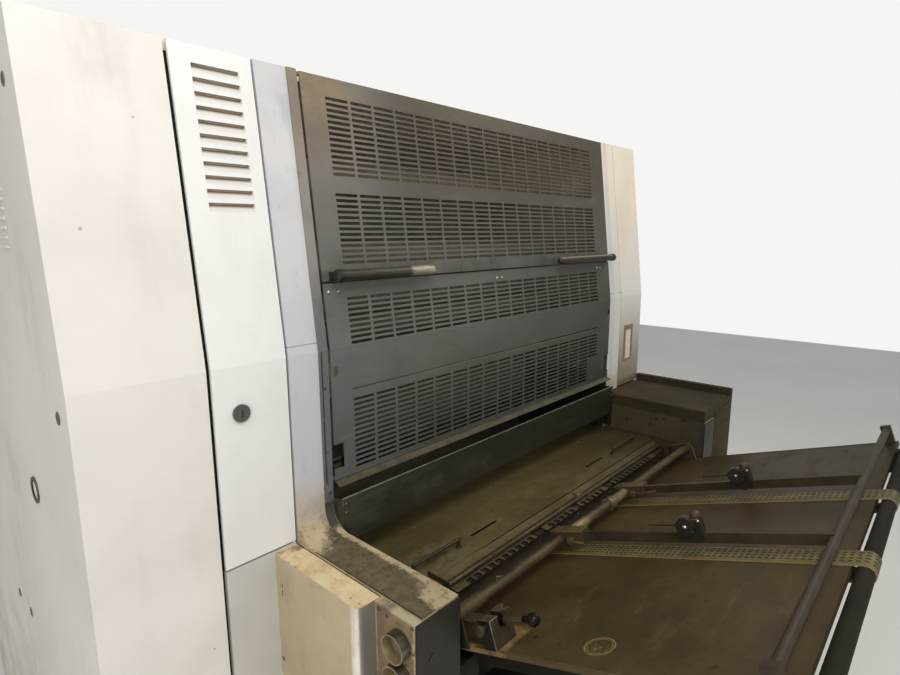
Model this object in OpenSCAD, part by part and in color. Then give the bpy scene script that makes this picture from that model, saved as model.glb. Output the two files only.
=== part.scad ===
// First printing unit of a sheet-fed offset press, with its feed board.
// X runs across the press, Y runs with the sheet, Z is up, and the floor is Z = 0.
// Y = 0 is the lower front plane of the unit, X = 0 is the middle of the sheet.

/* [Unit] */
// Height of the unit's roof above the floor
unit_top = 2090; // [1900:5:2300]
// Depth of the unit along the sheet's way
unit_depth = 1300; // [1150:5:1600]
// Clear distance between the two side frames
frame_gap = 1430; // [1300:5:1560]
// Thickness of each cast side frame
frame_t = 105; // [80:1:130]
// Height where the fronts start to lean back
kink_z = 1450; // [1400:5:1500]
// Angle by which the upper fronts lean back
lean = 6.8; // [3:0.1:9]
// Gap between the floor and the cover panels
floor_gap = 30; // [10:1:60]
// Height of the cast bed
bed_h = 180; // [120:5:260]
// Thickness of the apron plates between the frames
apron_t = 8; // [4:1:16]
// Distance of the bed's rear end and the rear apron from the unit's rear
rear_inset = 60; // [30:5:100]
// Distance of the bed's front end from the arms' ends
bed_inset = 20; // [0:5:60]

/* [Arms] */
// Height of the arms' top faces
arm_top = 1000; // [960:5:1020]
// How far the arms reach out in front of the unit
arm_len = 417; // [390:1:470]
// Fillet between an arm and its side frame
arm_fillet = 60; // [20:1:90]
// Thickness of the plates that close the arms' ends
end_plate_t = 4; // [2:0.5:8]
// Width of the sheet cover beside the left arm
side_cover_w = 62; // [40:1:90]
// Step from the arm's top face down to the sheet cover
cover_step = 3; // [1:0.5:5]
// Length of the sheet cover beside the left arm
side_cover_len = 300; // [240:1:320]
// Radius of the side cover's front edge
side_cover_r = 14; // [4:1:24]
// Width of the drive box beside the right arm
drive_box_w = 225; // [215:5:420]
// Height of the drive box's top face
drive_top = 1046; // [1025:1:1060]
// Radius of the edge along the drive box's inner side
drive_edge_r = 5; // [2:1:10]
// Height of the lip along the drive box
drive_lip_h = 27; // [15:1:45]
// Width of the lip along the drive box
drive_lip_w = 25; // [12:1:40]

/* [Housings] */
// Thickness of the housings' cover panels
panel_t = 12; // [10:0.5:16]
// Width of the louvred door
door_w = 172; // [150:1:200]
// Thickness of the louvred door
door_t = 7; // [4:0.5:7]
// Height of the door's lower edge
door_bottom = 1008; // [1004:1:1060]
// Gap between the door and the outer cover
door_gap = 9; // [7:0.5:14]
// Gap between the door and the side frame
door_frame_gap = 6; // [5.5:0.5:9]
// Width of the outer cover of the left housing
outer_cover_w = 243; // [180:1:320]
// Width of the right housing's front cover
right_cover_w = 199; // [160:1:260]
// Gap between two fixed covers
cover_gap = 4; // [3:0.5:8]
// Gap between a housing's core and the covers in front of it and behind it
core_gap = 0.05; // [0.02:0.01:0.2]
// Thickness of the roof covers
roof_t = 20; // [14:1:30]

/* [Louvres] */
// Number of louvres in the door
louvre_count = 11; // [6:1:14]
// Width of one louvre
louvre_w = 100; // [60:1:110]
// Offset of the louvres from the door's middle
louvre_shift = 6; // [-10:1:14]
// Height of one louvre
louvre_h = 13; // [9:0.5:15]
// Distance from one louvre to the next
louvre_pitch = 27; // [20:0.5:28]
// Depth to which a louvre is pressed in
louvre_depth = 13; // [9:0.5:16]
// Height of the open slit at a louvre's top
louvre_slit = 3; // [2:0.5:4]
// Thickness of a louvre's pressed sheet
louvre_t = 1.2; // [0.8:0.1:2]
// Depth of the cabinet behind the door
cabinet_depth = 60; // [40:5:120]
// Width of the rim round the cabinet
cabinet_rim = 8; // [6:1:14]
// Height of the uppermost louvre's top edge
louvre_top = 2055; // [2030:1:2065]

/* [Door lock] */
// Diameter of the round lock
lock_d = 38; // [30:1:54]
// How far the lock stands proud of the door
lock_h = 6; // [3:0.5:10]
// Diameter of the lock's barrel
barrel_d = 28; // [16:1:29]
// Running gap round the lock's barrel
barrel_gap = 0.05; // [0.02:0.01:0.1]
// Height of the lock
lock_z = 1349; // [1300:1:1400]
// Distance of the lock from the door's free edge
lock_inset = 58; // [40:1:80]

/* [Guards] */
// Thickness of the guards' sheet metal
guard_t = 3; // [2:0.5:4]
// How far the guards stand in front of the side frames
guard_proud = 6; // [4:0.5:9]
// Width of the slotted guards
guard_w = 1420; // [1400:1:1420]
// Height of the lower guard's bottom edge
guard_bottom = 1119; // [1100:1:1125]
// Height where the two guards meet
guard_split = 1606; // [1580:1:1612]
// Gap between the two guards
guard_gap = 5; // [5:0.5:8]
// Depth of the flange along the lower guard's bottom edge
flange_depth = 20; // [10:1:22]
// Slope of that flange
flange_drop = 25; // [10:1:40]
// Width of the channel strip beside the guards
channel_w = 25; // [15:1:35]
// Thickness of the channel strip
channel_t = 4; // [2:0.5:6]
// Distance from the arm's fillet up to the channel strip's lower end
channel_rise = 10; // [4:1:40]
// Gap between a guard and the channel strip
channel_gap = 6; // [5:0.5:8]
// Radius of the guards' hinge pins
hinge_pin_r = 5; // [3:0.5:6]
// Depth by which a hinge pin is sunk into its guard
pin_sink = 2; // [1:0.5:3]
// Length by which a hinge pin overlaps its guard
pin_overlap = 12; // [8:1:20]
// Gap between the upper guard and the roof's edge
guard_top_gap = 4; // [3:0.5:8]
// Running gap at the ends of pins and shafts
end_gap = 0.3; // [0.2:0.05:0.5]

/* [Slots] */
// Number of slots across a guard
slot_columns = 17; // [8:1:18]
// Distance from one slot column to the next
slot_pitch_x = 74; // [60:0.5:75]
// Length of one slot
slot_len = 66; // [40:0.5:68]
// Height of one slot
slot_h = 7.5; // [4:0.5:9]
// Distance from one slot row to the next
slot_pitch_z = 13.5; // [12:0.1:13.6]
// Offset of the slots from the guard's middle
slot_shift = -20; // [-30:1:30]
// Height of the top edge of the upper guard's top band
band_top_z = 2041; // [2030:1:2050]
// Height of the top edge of the upper guard's second band
band_second_z = 1818; // [1812:1:1826]
// Height of the top edge of the lower guard's upper band
band_third_z = 1570; // [1564:1:1584]
// Height of the top edge of the lower guard's bottom band
band_bottom_z = 1318; // [1312:1:1328]
// Rows in the upper guard's top band
rows_top = 14; // [4:1:14]
// Rows in the upper guard's second band
rows_second = 13; // [4:1:13]
// Rows in the lower guard's upper band
rows_third = 10; // [4:1:10]
// Rows in the lower guard's bottom band
rows_bottom = 14; // [4:1:14]
// Rows of the last column beside the cut-out
rows_short = 7; // [2:1:7]
// Height at which the long groove between the lower bands starts
groove_z = 1340; // [1334:1:1360]
// Height of the long groove between the lower bands
groove_h = 5; // [3:0.5:7]
// Width of the obround finger holes in the lower guard
finger_hole_w = 13; // [8:1:15]
// Distance of a finger hole from the guard's edge
finger_hole_in = 14; // [13:1:22]
// Height of the finger holes' middle
finger_hole_z = 1396; // [1390:1:1410]
// Width of the cut-outs low at both edges of the lower guard
notch_w = 30; // [20:1:40]
// Height of those cut-outs
notch_h = 64; // [40:1:70]
// Distance of those cut-outs from the guard's bottom edge
notch_rise = 30; // [20:1:40]

/* [Guard handles] */
// Diameter of a guard handle
handle_d = 26; // [18:1:30]
// Length of the left guard handle
handle_len = 314; // [200:1:400]
// Length of the right guard handle
right_handle_len = 400; // [200:1:440]
// Distance from a handle's outer end to the guard's edge
handle_inset = 20; // [16:1:80]
// Clear gap between a handle and the guard
handle_gap = 20; // [18:1:45]
// Height of the handles' middle above the guard's lower edge
handle_rise = 15; // [15:1:40]

/* [Front plate] */
// Distance of the front plate from the unit's front plane
front_plate_y = 34; // [30:1:45]
// Thickness of the front plate
front_plate_t = 4; // [3:0.5:6]
// Height of the front plate's top edge
front_plate_top = 1080; // [1050:1:1084]
// Height of the front plate's bottom edge
front_plate_bottom = 965; // [940:1:975]

/* [Infeed table] */
// Height of the infeed plate's top face
table_z = 893; // [880:1:900]
// Thickness of the infeed plate
table_t = 12; // [8:1:16]
// How far the infeed plate reaches behind the front plane
table_in = 80; // [20:5:120]
// Distance of the lip rod's axis from the front plane
lip_y = 264; // [258:1:268]
// Diameter of the rod along the table's lip
lip_d = 14; // [13:1:16]
// Distance of the lip rod's left end from the middle of the press
lip_left = 590; // [560:1:640]
// Thickness of the upright plate at the lip rod's left end
lip_stop_t = 4; // [3:0.5:6]
// Length of that plate
lip_stop_len = 70; // [50:1:90]
// Height of that plate over the table
lip_stop_h = 12; // [8:1:20]
// Thickness of the comb plates
comb_t = 4; // [3:0.5:5]
// Distance of the comb plates' front edge from the front plane
comb_front = 293; // [290:1:302]
// Length of a slot in a comb plate
comb_slot_len = 14; // [8:1:18]
// Width of a slot in a comb plate
comb_slot_w = 17; // [8:1:20]
// Distance from one comb slot to the next
comb_pitch = 29; // [26:1:30]
// Distance of the comb slots from the plate's front edge
comb_edge = 2.5; // [2:0.5:4]
// Distance of the first slot from the plate's inner end
comb_margin = 21; // [15:1:24]
// Distance of an inner comb plate from the middle of the press
comb_x = 15; // [10:1:30]
// Length of an inner comb plate
comb_len = 172; // [160:1:180]
// Distance of an outer comb plate from the middle of the press
outer_comb_x = 238; // [230:1:250]
// Length of an outer comb plate
outer_comb_len = 339; // [320:1:360]
// Number of slots in an inner comb plate
comb_slots = 5; // [3:1:5]
// Number of slots in an outer comb plate
outer_comb_slots = 10; // [6:1:10]
// Height of the cross beam
beam_h = 45; // [30:1:60]
// Gap between the lip rod and the plates beside it
seat_gap = 0.5; // [0.3:0.1:1]
// Width of the cross beam
beam_w = 40; // [30:1:44]
// Width of the ledges that carry the infeed plate
ledge_w = 15; // [12:1:20]
// Height of the ledges
ledge_h = 30; // [20:1:40]
// How much shorter the ledges are than the infeed plate
ledge_inset = 20; // [10:1:40]
// Gap between the infeed plate and each arm
table_gap = 5; // [2:0.5:8]
// Length of a lifting handle on the infeed plate
lift_len = 176; // [150:1:240]
// Height of a lifting handle
lift_h = 27; // [24:1:34]
// Diameter of a lifting handle's rod
lift_d = 10; // [6:0.5:12]
// Distance of a lifting handle's middle from the middle of the press
lift_x = 528; // [500:1:550]
// Distance of the lifting handles from the front plane
lift_y = 178; // [120:1:200]

/* [Feed board] */
// Slope of the feed board, falling towards the unit
board_slope = 20; // [14:0.5:21]
// Distance of the board's lower edge from the front plane
board_front_y = 318; // [316:1:326]
// Height of the board's lower edge
board_front_z = 832; // [828:1:834]
// Length of the feed board
board_len = 730; // [560:5:900]
// Width of the feed board
board_w = 1380; // [1300:5:1400]
// Thickness of the feed board
board_t = 10; // [6:1:12]
// Height of the rails under the board
rail_h = 60; // [40:1:80]
// Width of the rails under the board
rail_w = 40; // [30:1:60]
// Distance between the rails' inner faces
rail_gap = 1200; // [1100:5:1210]
// Height of the blocks that carry the rails
bracket_h = 57; // [40:1:70]
// Length of the blocks that carry the rails
bracket_len = 70; // [50:1:80]
// Distance of those blocks from the arms' ends
bracket_inset = 7; // [0:1:12]
// Width of the suction tapes
tape_w = 70; // [50:1:90]
// Thickness of the suction tapes
tape_t = 2; // [1:0.5:3]
// Distance of the tapes from the middle of the press
tape_x = 190; // [120:1:220]
// Diameter of the nose roller at the board's lower edge
nose_d = 16; // [12:1:18]
// Distance of the nose roller's axis from the board's lower edge
nose_out = 8; // [8:0.5:10]
// Gap between the board's upper edge and its roller
end_roller_gap = 4; // [2:0.5:8]
// Gap between a tape and the rollers and board under it
tape_gap = 0.2; // [0.1:0.05:0.5]
// Diameter of the roller at the board's upper edge
end_roller_d = 32; // [26:1:40]

/* [Shaft and bars] */
// Distance of the cross shaft up the board from the board's lower edge
shaft_u = 57; // [50:1:64]
// Height of the cross shaft's axis over the board
shaft_h = 41; // [38:1:46]
// Diameter of the cross shaft
shaft_d = 28; // [22:1:32]
// Diameter of the sleeve on the cross shaft's left end
sleeve_d = 34; // [30:1:38]
// Distance of the sleeve's inner end from the middle of the press
sleeve_x = 570; // [540:1:600]
// Place of the collar along the cross shaft
collar_x = 66; // [40:1:140]
// Width of the collar
collar_w = 24; // [12:1:30]
// Wall of the collar
collar_wall = 5; // [4:0.5:7]
// Width of a bar clamp
clamp_w = 44; // [30:1:50]
// Distance of a bar clamp's lower end from the board's lower edge
clamp_front = 22; // [14:1:30]
// Length of a bar clamp along the board
clamp_len = 98; // [80:1:120]
// Height of a bar clamp
clamp_h = 22; // [18:1:24]
// How far a bar clamp rises over the cross shaft
clamp_over = 2; // [1:0.5:4]
// Distance of a guide bar from the middle of the press
bar_x = 193; // [170:1:230]
// Thickness of a guide bar
bar_t = 12; // [8:1:16]
// Height of a guide bar
bar_h = 24; // [20:1:26]
// Distance of a guide bar's upper end from the board's upper edge
bar_inset = 20; // [14:1:40]
// Gap between the board and a guide bar
bar_gap = 29; // [26:1:32]
// Diameter of the rod that joins the bars' upper ends
rear_rod_d = 20; // [16:1:22]
// Width of the posts that carry that rod
post_w = 20; // [14:1:30]
// Length of those posts along the board
post_len = 26; // [24:1:36]
// How far those posts rise over the rod's axis
post_over = 14; // [12:1:24]
// Distance of those posts from the board's sides
post_inset = 4; // [0:1:12]
// Distance of a wheel carriage from the board's lower edge
carriage_u = 395; // [250:1:450]
// Length of a wheel carriage
carriage_len = 52; // [46:1:90]
// Wall of a wheel carriage beside its bar
carriage_wall = 8; // [6:0.5:10]
// How far a wheel carriage rises over its bar
carriage_over = 33; // [28:1:38]
// How far a wheel carriage reaches down beside its bar
carriage_drop = 15; // [8:1:20]
// Distance of the wheel's axis from the carriage's lower end
wheel_in = 20; // [16:1:26]
// Diameter of a carriage's wheel
wheel_d = 40; // [30:1:44]
// Width of a carriage's wheel and of its hand nut
wheel_w = 10; // [6:1:14]
// Height of the wheel's axis over the bar's lower edge
wheel_rise = 11; // [8:1:16]
// Diameter of a carriage's round hand nut
nut_d = 44; // [30:1:46]
// Height of the hand nut's axis over the bar
nut_rise = 20; // [14:1:24]
// Diameter of a carriage's knob
knob_d = 24; // [14:1:26]
// Height of a carriage's knob
knob_h = 13; // [8:1:20]
// Diameter of the thin finger at a carriage
finger_d = 4; // [3:0.5:6]
// Length of that finger
finger_len = 82; // [40:1:100]
// Height of that finger over the bar
finger_rise = 17; // [10:1:22]

/* [Ball lever] */
// Diameter of the lever's ball
ball_d = 27; // [18:1:34]
// Length of the lever from pivot to ball
lever_len = 105; // [60:1:120]
// Diameter of the lever's rod
lever_d = 8; // [6:0.5:10]
// Place of the lever across the press
lever_x = -657; // [-657:1:-600]
// Distance of the lever's pivot from the board's lower edge
lever_u = 175; // [150:1:220]
// Height of the lever's pivot above the board
lever_h = 48; // [40:1:70]
// Diameter of the lever's pivot pin
pivot_d = 8; // [6:0.5:12]
// Diameter of the lever's hub
hub_d = 20; // [16:1:24]
// Gap under the lever's hub
hub_gap = 6; // [5.2:0.2:9]
// Width of the lever's hub
hub_w = 10; // [8:1:12]
// Width of the lever's bracket
bracket_w = 66; // [28:1:66]
// Length of the lever's bracket along the board
lever_bracket_len = 33; // [30:1:60]
// Width of the slot in the lever's bracket
bracket_slot = 16; // [13:0.5:20]
// How far the bracket rises over the pivot's axis
bracket_over = 12; // [10:1:20]
// Angle by which the lever rises at rest
lever_rise = 6; // [0:1:15]

/* [Air stubs] */
// Outer diameter of an air stub
stub_d = 60; // [50:1:62]
// Wall of an air stub
stub_wall = 3; // [2:0.5:5]
// How far an air stub stands out
stub_len = 25; // [20:1:60]
// Height of the upper air stub
stub_z = 940; // [900:1:950]
// Distance between the two air stubs
stub_pitch = 69; // [66:1:90]
// Distance of the air stubs from the front plane
stub_y = 377; // [365:1:380]
// Thickness of the plate that carries the air stubs
stub_plate_t = 18; // [10:1:30]

/* [Cylinders] */
// Diameter of the plate and blanket cylinders
cylinder_d = 300; // [260:2:306]
// Diameter of the impression cylinder
impression_d = 600; // [560:2:606]
// Height of the impression cylinder's axis
impression_z = 620; // [600:5:640]
// How far the blanket cylinder's axis lies in front of the impression cylinder's
blanket_shift = 90; // [60:5:120]
// How far the plate cylinder's axis lies in front of the blanket cylinder's
plate_shift = 120; // [90:5:150]
// Diameter of the journals of the plate and blanket cylinders
journal_d = 120; // [80:5:140]
// Diameter of the impression cylinder's journals
impression_journal_d = 160; // [120:5:200]
// Diameter of the rollers' journals
roller_journal_d = 40; // [30:2:50]
// Gap between a cylinder's body and a side frame
body_gap = 25; // [15:1:40]
// Gap between two cylinders
cylinder_gap = 0.5; // [0.3:0.1:1]
// Diameter of a form roller
form_roller_d = 80; // [60:2:90]
// Diameter of a distributor roller
distributor_d = 100; // [70:2:110]
// Number of form rollers on the plate cylinder
form_rollers = 4; // [2:1:4]
// Angle of the first form roller round the plate cylinder
form_angle = 55; // [50:1:60]
// Angle from one form roller to the next
form_step = 32; // [30:1:34]
// Angle of the first distributor roller round the plate cylinder
distributor_angle = 75; // [70:1:80]
// Angle from one distributor roller to the next
distributor_step = 38; // [34:1:42]
// Space between the form rollers and the distributor rollers
roller_space = 40; // [30:1:46]
// How far the fountain roller's axis lies behind the plate cylinder's
fountain_shift = 60; // [40:5:90]
// Distance of the ink fountain behind the plate cylinder's axis
fountain_in = 240; // [230:5:260]
// Width of the ink fountain
fountain_w = 240; // [200:5:300]
// Height of the ink fountain
fountain_h = 420; // [300:10:460]
// Distance of the fountain roller's axis from the roof
fountain_drop = 180; // [160:5:186]

/* [Hidden] */
$fn = 48;

half_gap = frame_gap / 2;
frame_outer = half_gap + frame_t;
top_y = front_y(unit_top);
door_right = -frame_outer - door_frame_gap;
door_left = door_right - door_w;
outer_right = door_left - door_gap;
outer_left = outer_right - outer_cover_w;
right_cover_x = frame_outer + cover_gap;
right_outer = right_cover_x + right_cover_w;
kick_top = door_bottom - cover_gap - 1;
channel_bottom = arm_top + arm_fillet + channel_rise;
hinge_z = guard_bottom + hinge_pin_r + 1;
lip_z = table_z - lip_d / 2;
beam_top = lip_z - lip_d / 2 - comb_t - seat_gap;
clamp_top = shaft_h + shaft_d / 2 + clamp_over;
bar_start = clamp_front + clamp_len;
bar_len = board_len - bar_start - bar_inset;
bar_top = bar_gap + bar_h;
impression_y = unit_depth / 2;
end_roller_u = board_len + end_roller_d / 2 + end_roller_gap;
big_step = impression_d / 2 + cylinder_d / 2 + cylinder_gap;
blanket_y = impression_y - blanket_shift;
blanket_z = impression_z + sqrt(big_step * big_step - blanket_shift * blanket_shift);
small_step = cylinder_d + cylinder_gap;
plate_y = blanket_y - plate_shift;
plate_z = blanket_z + sqrt(small_step * small_step - plate_shift * plate_shift);

// Y of the front plane at height z
function front_y(z) = z < kink_z ? 0 : (z - kink_z) * tan(lean);

// Outline of the unit seen from its side, moved in by m
function side_outline(m, z0, z1) = [[m, z0], [m, kink_z], [m + front_y(z1), z1],
    [unit_depth - m - front_y(z1), z1], [unit_depth - m, kink_z], [unit_depth - m, z0]];

// Draws a Y-Z outline from x0 to x1
module across(x0, x1) {
    translate([x0, 0, 0]) rotate([90, 0, 90]) linear_extrude(x1 - x0) children();
}

// Puts a front piece on the rear
module at_rear() {
    translate([0, unit_depth, 0]) mirror([0, 1, 0]) children();
}

// Repeats a piece on the left and the right
module both_sides() {
    children();
    mirror([1, 0, 0]) children();
}

// Bent cover that follows the front from z0 up to z1
module front_panel(x0, x1, z0, z1, t) {
    across(x0, x1)
        polygon([[0, z0], [0, kink_z], [front_y(z1), z1], [front_y(z1) + t, z1], [t, kink_z], [t, z0]]);
}

// A box from its low corner and its size, with X centred on x
module box_at(x, y0, z0, size) {
    translate([x - size[0] / 2, y0, z0]) cube(size);
}

// A rod along X with its axis at y and z
module rod_x(x0, x1, y, z, d) {
    translate([x0, y, z]) rotate([0, 90, 0]) cylinder(d = d, h = x1 - x0);
}

// Base and frames
module base_bed() {
    color("dimgray")
        box_at(0, bed_inset - arm_len, 0, [frame_gap, unit_depth + arm_len - bed_inset - rear_inset, bed_h]);
}

// Outline of a side frame with its arm, with the points of the corner between them
module frame_outline(corner) {
    polygon(concat([[-arm_len, 0], [-arm_len, arm_top]], corner, [[0, kink_z], [top_y, unit_top],
        [unit_depth - top_y, unit_top], [unit_depth, kink_z], [unit_depth, 0]]));
}

module left_side_frame() {
    fillet = [for (a = [0:10:90]) [-arm_fillet + arm_fillet * sin(a), arm_top + arm_fillet - arm_fillet * cos(a)]];
    color("gainsboro") across(-frame_outer, -half_gap) frame_outline(fillet);
}

module right_side_frame() {
    color("gainsboro") across(half_gap, frame_outer) frame_outline([[0, arm_top]]);
}

module housing_roof(x0, x1) {
    y = top_y + panel_t + 0.5;
    translate([x0, y, unit_top - roof_t]) cube([x1 - x0, unit_depth - 2 * y, roof_t]);
}

module roof_covers() {
    y = top_y + guard_gap + 3 * hinge_pin_r;
    color("gray") box_at(0, y, unit_top - roof_t, [frame_gap, unit_depth - 2 * y, roof_t]);
    color("whitesmoke") housing_roof(outer_left, -frame_outer);
    color("whitesmoke") housing_roof(frame_outer, right_outer);
}

// Plates that close the unit between its frames, below the table and at the rear
module aprons() {
    front_top = table_z - table_t - ledge_h - cover_gap;
    color("darkslategray") {
        box_at(0, 0, bed_h, [frame_gap, apron_t, front_top - bed_h]);
        box_at(0, unit_depth - rear_inset - apron_t, bed_h,
            [frame_gap, apron_t, guard_bottom - guard_gap - bed_h]);
    }
}

// Guards
module guard_channel() {
    inner = -guard_w / 2 - channel_gap;
    color("slategray") across(inner - channel_w, inner)
        polygon([[-channel_t, channel_bottom], [-channel_t, kink_z], [top_y - channel_t, unit_top],
            [top_y, unit_top], [0, kink_z], [0, channel_bottom]]);
}

// Rows of slots with their top edge at v0, measured up the sheet
module slot_band(rows, v0, short_rows) {
    x0 = -slot_columns * slot_pitch_x / 2 + (slot_pitch_x - slot_len) / 2 + slot_shift;
    for (c = [0:slot_columns - 1])
        for (r = [0:(c == slot_columns - 1 ? short_rows : rows) - 1])
            translate([x0 + c * slot_pitch_x, v0 - slot_h - r * slot_pitch_z])
                square([slot_len, slot_h]);
}

module sheet_outline(len, w = guard_w) {
    translate([-w / 2, 0]) square([w, len]);
}

// Stands a sheet up at height z with the angle a, its outer face forward
module stand_sheet(z, a) {
    translate([0, front_y(z) - guard_proud + guard_t, z]) rotate([90 - a, 0, 0])
        linear_extrude(guard_t) children();
}

up = 1 / cos(lean);
upper_len = (unit_top - guard_top_gap - guard_split - guard_gap) * up;
upper_z0 = guard_split + guard_gap;

module upper_guard_sheet(w) {
    stand_sheet(upper_z0, lean) difference() {
        sheet_outline(upper_len, w);
        slot_band(rows_top, (band_top_z - upper_z0) * up, rows_top);
        slot_band(rows_second, (band_second_z - upper_z0) * up, rows_second);
    }
}

// Hinge pins at both ends of a guard, their axis at z, behind the front plane's y
module guard_pins(y, z) {
    both_sides() rod_x(guard_w / 2 - pin_overlap, half_gap - end_gap,
        y - guard_proud + guard_t + hinge_pin_r - pin_sink, z, 2 * hinge_pin_r);
}

module upper_guard() {
    color("dimgray") {
        upper_guard_sheet(guard_w);
        guard_pins(top_y, unit_top - guard_top_gap - hinge_pin_r);
    }
}

module guard_handle(len) {
    y = front_y(upper_z0 + handle_rise) - guard_proud - handle_gap - handle_d / 2;
    z = upper_z0 + handle_rise;
    outer = guard_w / 2 - handle_inset;
    rod_x(outer - len, outer, y, z, handle_d);
    translate([outer - len, y, z]) sphere(d = handle_d);
    box_at(outer - handle_d / 2, y, z - handle_d / 2,
        [handle_d, handle_gap + handle_d / 2 + 0.5 * guard_t, handle_d * 0.8]);
}

module guard_handles() {
    color("black") difference() {
        union() {
            guard_handle(right_handle_len);
            mirror([1, 0, 0]) guard_handle(handle_len);
        }
        stand_sheet(upper_z0, lean) sheet_outline(upper_len);
    }
}

low_len = kink_z - guard_bottom;
mid_len = (guard_split - kink_z) * up;

// Obround hole at x and v on the sheet
module finger_hole(x, v) {
    for (s = [-1, 1]) translate([x, v + s * finger_hole_w / 2]) circle(d = finger_hole_w);
    translate([x - finger_hole_w / 2, v - finger_hole_w / 2]) square(finger_hole_w);
}

module lower_guard_sheet(w) {
    stand_sheet(guard_bottom, 0) difference() {
        sheet_outline(low_len, w);
        slot_band(rows_bottom, band_bottom_z - guard_bottom, rows_short);
        translate([slot_shift - slot_columns * slot_pitch_x / 2, groove_z - guard_bottom])
            square([slot_columns * slot_pitch_x, groove_h]);
        both_sides() translate([w / 2 - notch_w, notch_rise]) square([notch_w + 1, notch_h]);
        both_sides() finger_hole(w / 2 - finger_hole_in, finger_hole_z - guard_bottom);
    }
    stand_sheet(kink_z, lean) difference() {
        sheet_outline(mid_len, w);
        slot_band(rows_third, (band_third_z - kink_z) * up, rows_third);
    }
}

module lower_guard() {
    color("dimgray") {
        lower_guard_sheet(guard_w);
        across(-guard_w / 2, guard_w / 2)
            translate([guard_t - guard_proud, guard_bottom]) rotate(180 + flange_drop)
                square([flange_depth + guard_t, guard_t]);
        guard_pins(0, hinge_z);
    }
}

// The rear guards are fixed between the side frames, flush with the frames
module rear_guards() {
    color("dimgray") at_rear() translate([0, guard_proud, 0]) {
        upper_guard_sheet(frame_gap);
        lower_guard_sheet(frame_gap);
    }
}

module front_plate() {
    color("darkslategray")
        box_at(0, -front_plate_y, front_plate_bottom,
            [frame_gap, front_plate_t, front_plate_top - front_plate_bottom]);
}

// Left housing
module left_housing_core() {
    color("silver") difference() {
        across(outer_left + panel_t, -frame_outer)
            polygon(side_outline(panel_t + core_gap, floor_gap, unit_top - roof_t));
        across(door_left + cabinet_rim, door_right - cabinet_rim) polygon([
            [panel_t - 1, door_bottom + cabinet_rim], [panel_t - 1, kink_z],
            [top_y + panel_t, unit_top - 2 * roof_t], [top_y + cabinet_depth, unit_top - 2 * roof_t],
            [cabinet_depth, kink_z], [cabinet_depth, door_bottom + cabinet_rim]]);
    }
}

// Wedge of one louvre at height z, deep at the top, grown by m, with its top cut off by the slit
module louvre_wedge(z, m, slit) {
    y = front_y(z);
    x = (door_left + door_right) / 2 + louvre_shift;
    low = z - louvre_h;
    across(x - louvre_w / 2 - m, x + louvre_w / 2 + m) intersection() {
        polygon([[y - 5, z], [y + louvre_depth + m, z], [front_y(low) + m, low - m], [y - 5, low - m]]);
        translate([y - 10, low - 2 * m]) square([louvre_depth + 30, louvre_h - slit + 2 * m]);
    }
}

module left_door() {
    color("whitesmoke") difference() {
        union() {
            front_panel(door_left, door_right, door_bottom, unit_top, door_t);
            for (i = [0:louvre_count - 1]) intersection() {
                louvre_wedge(louvre_top - i * louvre_pitch, louvre_t, louvre_slit);
                front_panel(door_left, door_right, door_bottom, unit_top, door_t + 2 * louvre_depth);
            }
        }
        for (i = [0:louvre_count - 1]) louvre_wedge(louvre_top - i * louvre_pitch, 0, 0);
        translate([door_left + lock_inset, -1, lock_z]) rotate([-90, 0, 0])
            cylinder(d = barrel_d, h = door_t + 2);
    }
    color("whitesmoke") translate([door_right - door_t / 2, door_t / 2, kick_top + end_gap])
        cylinder(d = door_t * 0.8, h = door_bottom - kick_top);
}

module door_lock() {
    color("black") translate([door_left + lock_inset, 0, lock_z]) rotate([90, 0, 0]) {
        translate([0, 0, end_gap]) cylinder(d = lock_d, h = lock_h);
        translate([0, 0, -door_t]) cylinder(d = barrel_d - 2 * barrel_gap, h = door_t + 1);
    }
}

module left_kick_panel() {
    color("lightgray") translate([door_left, 0, floor_gap])
        cube([door_w, panel_t, kick_top - floor_gap]);
}

module left_outer_cover() {
    color("lightgray") front_panel(outer_left, outer_right, floor_gap, unit_top, panel_t);
}

// Side panels in two lengths, with a gap between them
module side_panels(x) {
    difference() {
        across(x, x + panel_t)
            polygon(side_outline(panel_t + 0.5, floor_gap, unit_top - roof_t));
        translate([x - 1, (unit_depth - cover_gap) / 2, 0]) cube([panel_t + 2, cover_gap, unit_top]);
    }
}

module left_side_panels() {
    color("whitesmoke") side_panels(outer_left);
}

module rear_covers() {
    color("lightgray") at_rear() {
        front_panel(outer_left, -frame_outer - cover_gap, floor_gap, unit_top, panel_t);
        front_panel(right_cover_x, right_outer, floor_gap, unit_top, panel_t);
    }
}

// Right housing
module right_housing_core() {
    color("silver") across(frame_outer, right_outer - panel_t)
        polygon(side_outline(panel_t + core_gap, floor_gap, unit_top - roof_t));
}

module right_front_cover() {
    color("antiquewhite")
        front_panel(right_cover_x, right_outer, drive_top + cover_gap, unit_top, panel_t);
}

module right_side_panels() {
    color("whitesmoke") side_panels(right_outer - panel_t);
}

// Arms
module left_arm_cover() {
    color("wheat") translate([-frame_outer - side_cover_w, -side_cover_len, floor_gap])
        linear_extrude(arm_top - cover_step - floor_gap) {
            translate([side_cover_r, 0]) square([side_cover_w - side_cover_r, side_cover_len]);
            translate([0, side_cover_r]) square([side_cover_w, side_cover_len - side_cover_r]);
            translate([side_cover_r, side_cover_r]) circle(side_cover_r);
        }
}

module air_port_plate() {
    color("tan") translate([-frame_outer - stub_plate_t, -arm_len, floor_gap])
        cube([stub_plate_t, arm_len - side_cover_len, arm_top - cover_gap - floor_gap]);
}

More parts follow.
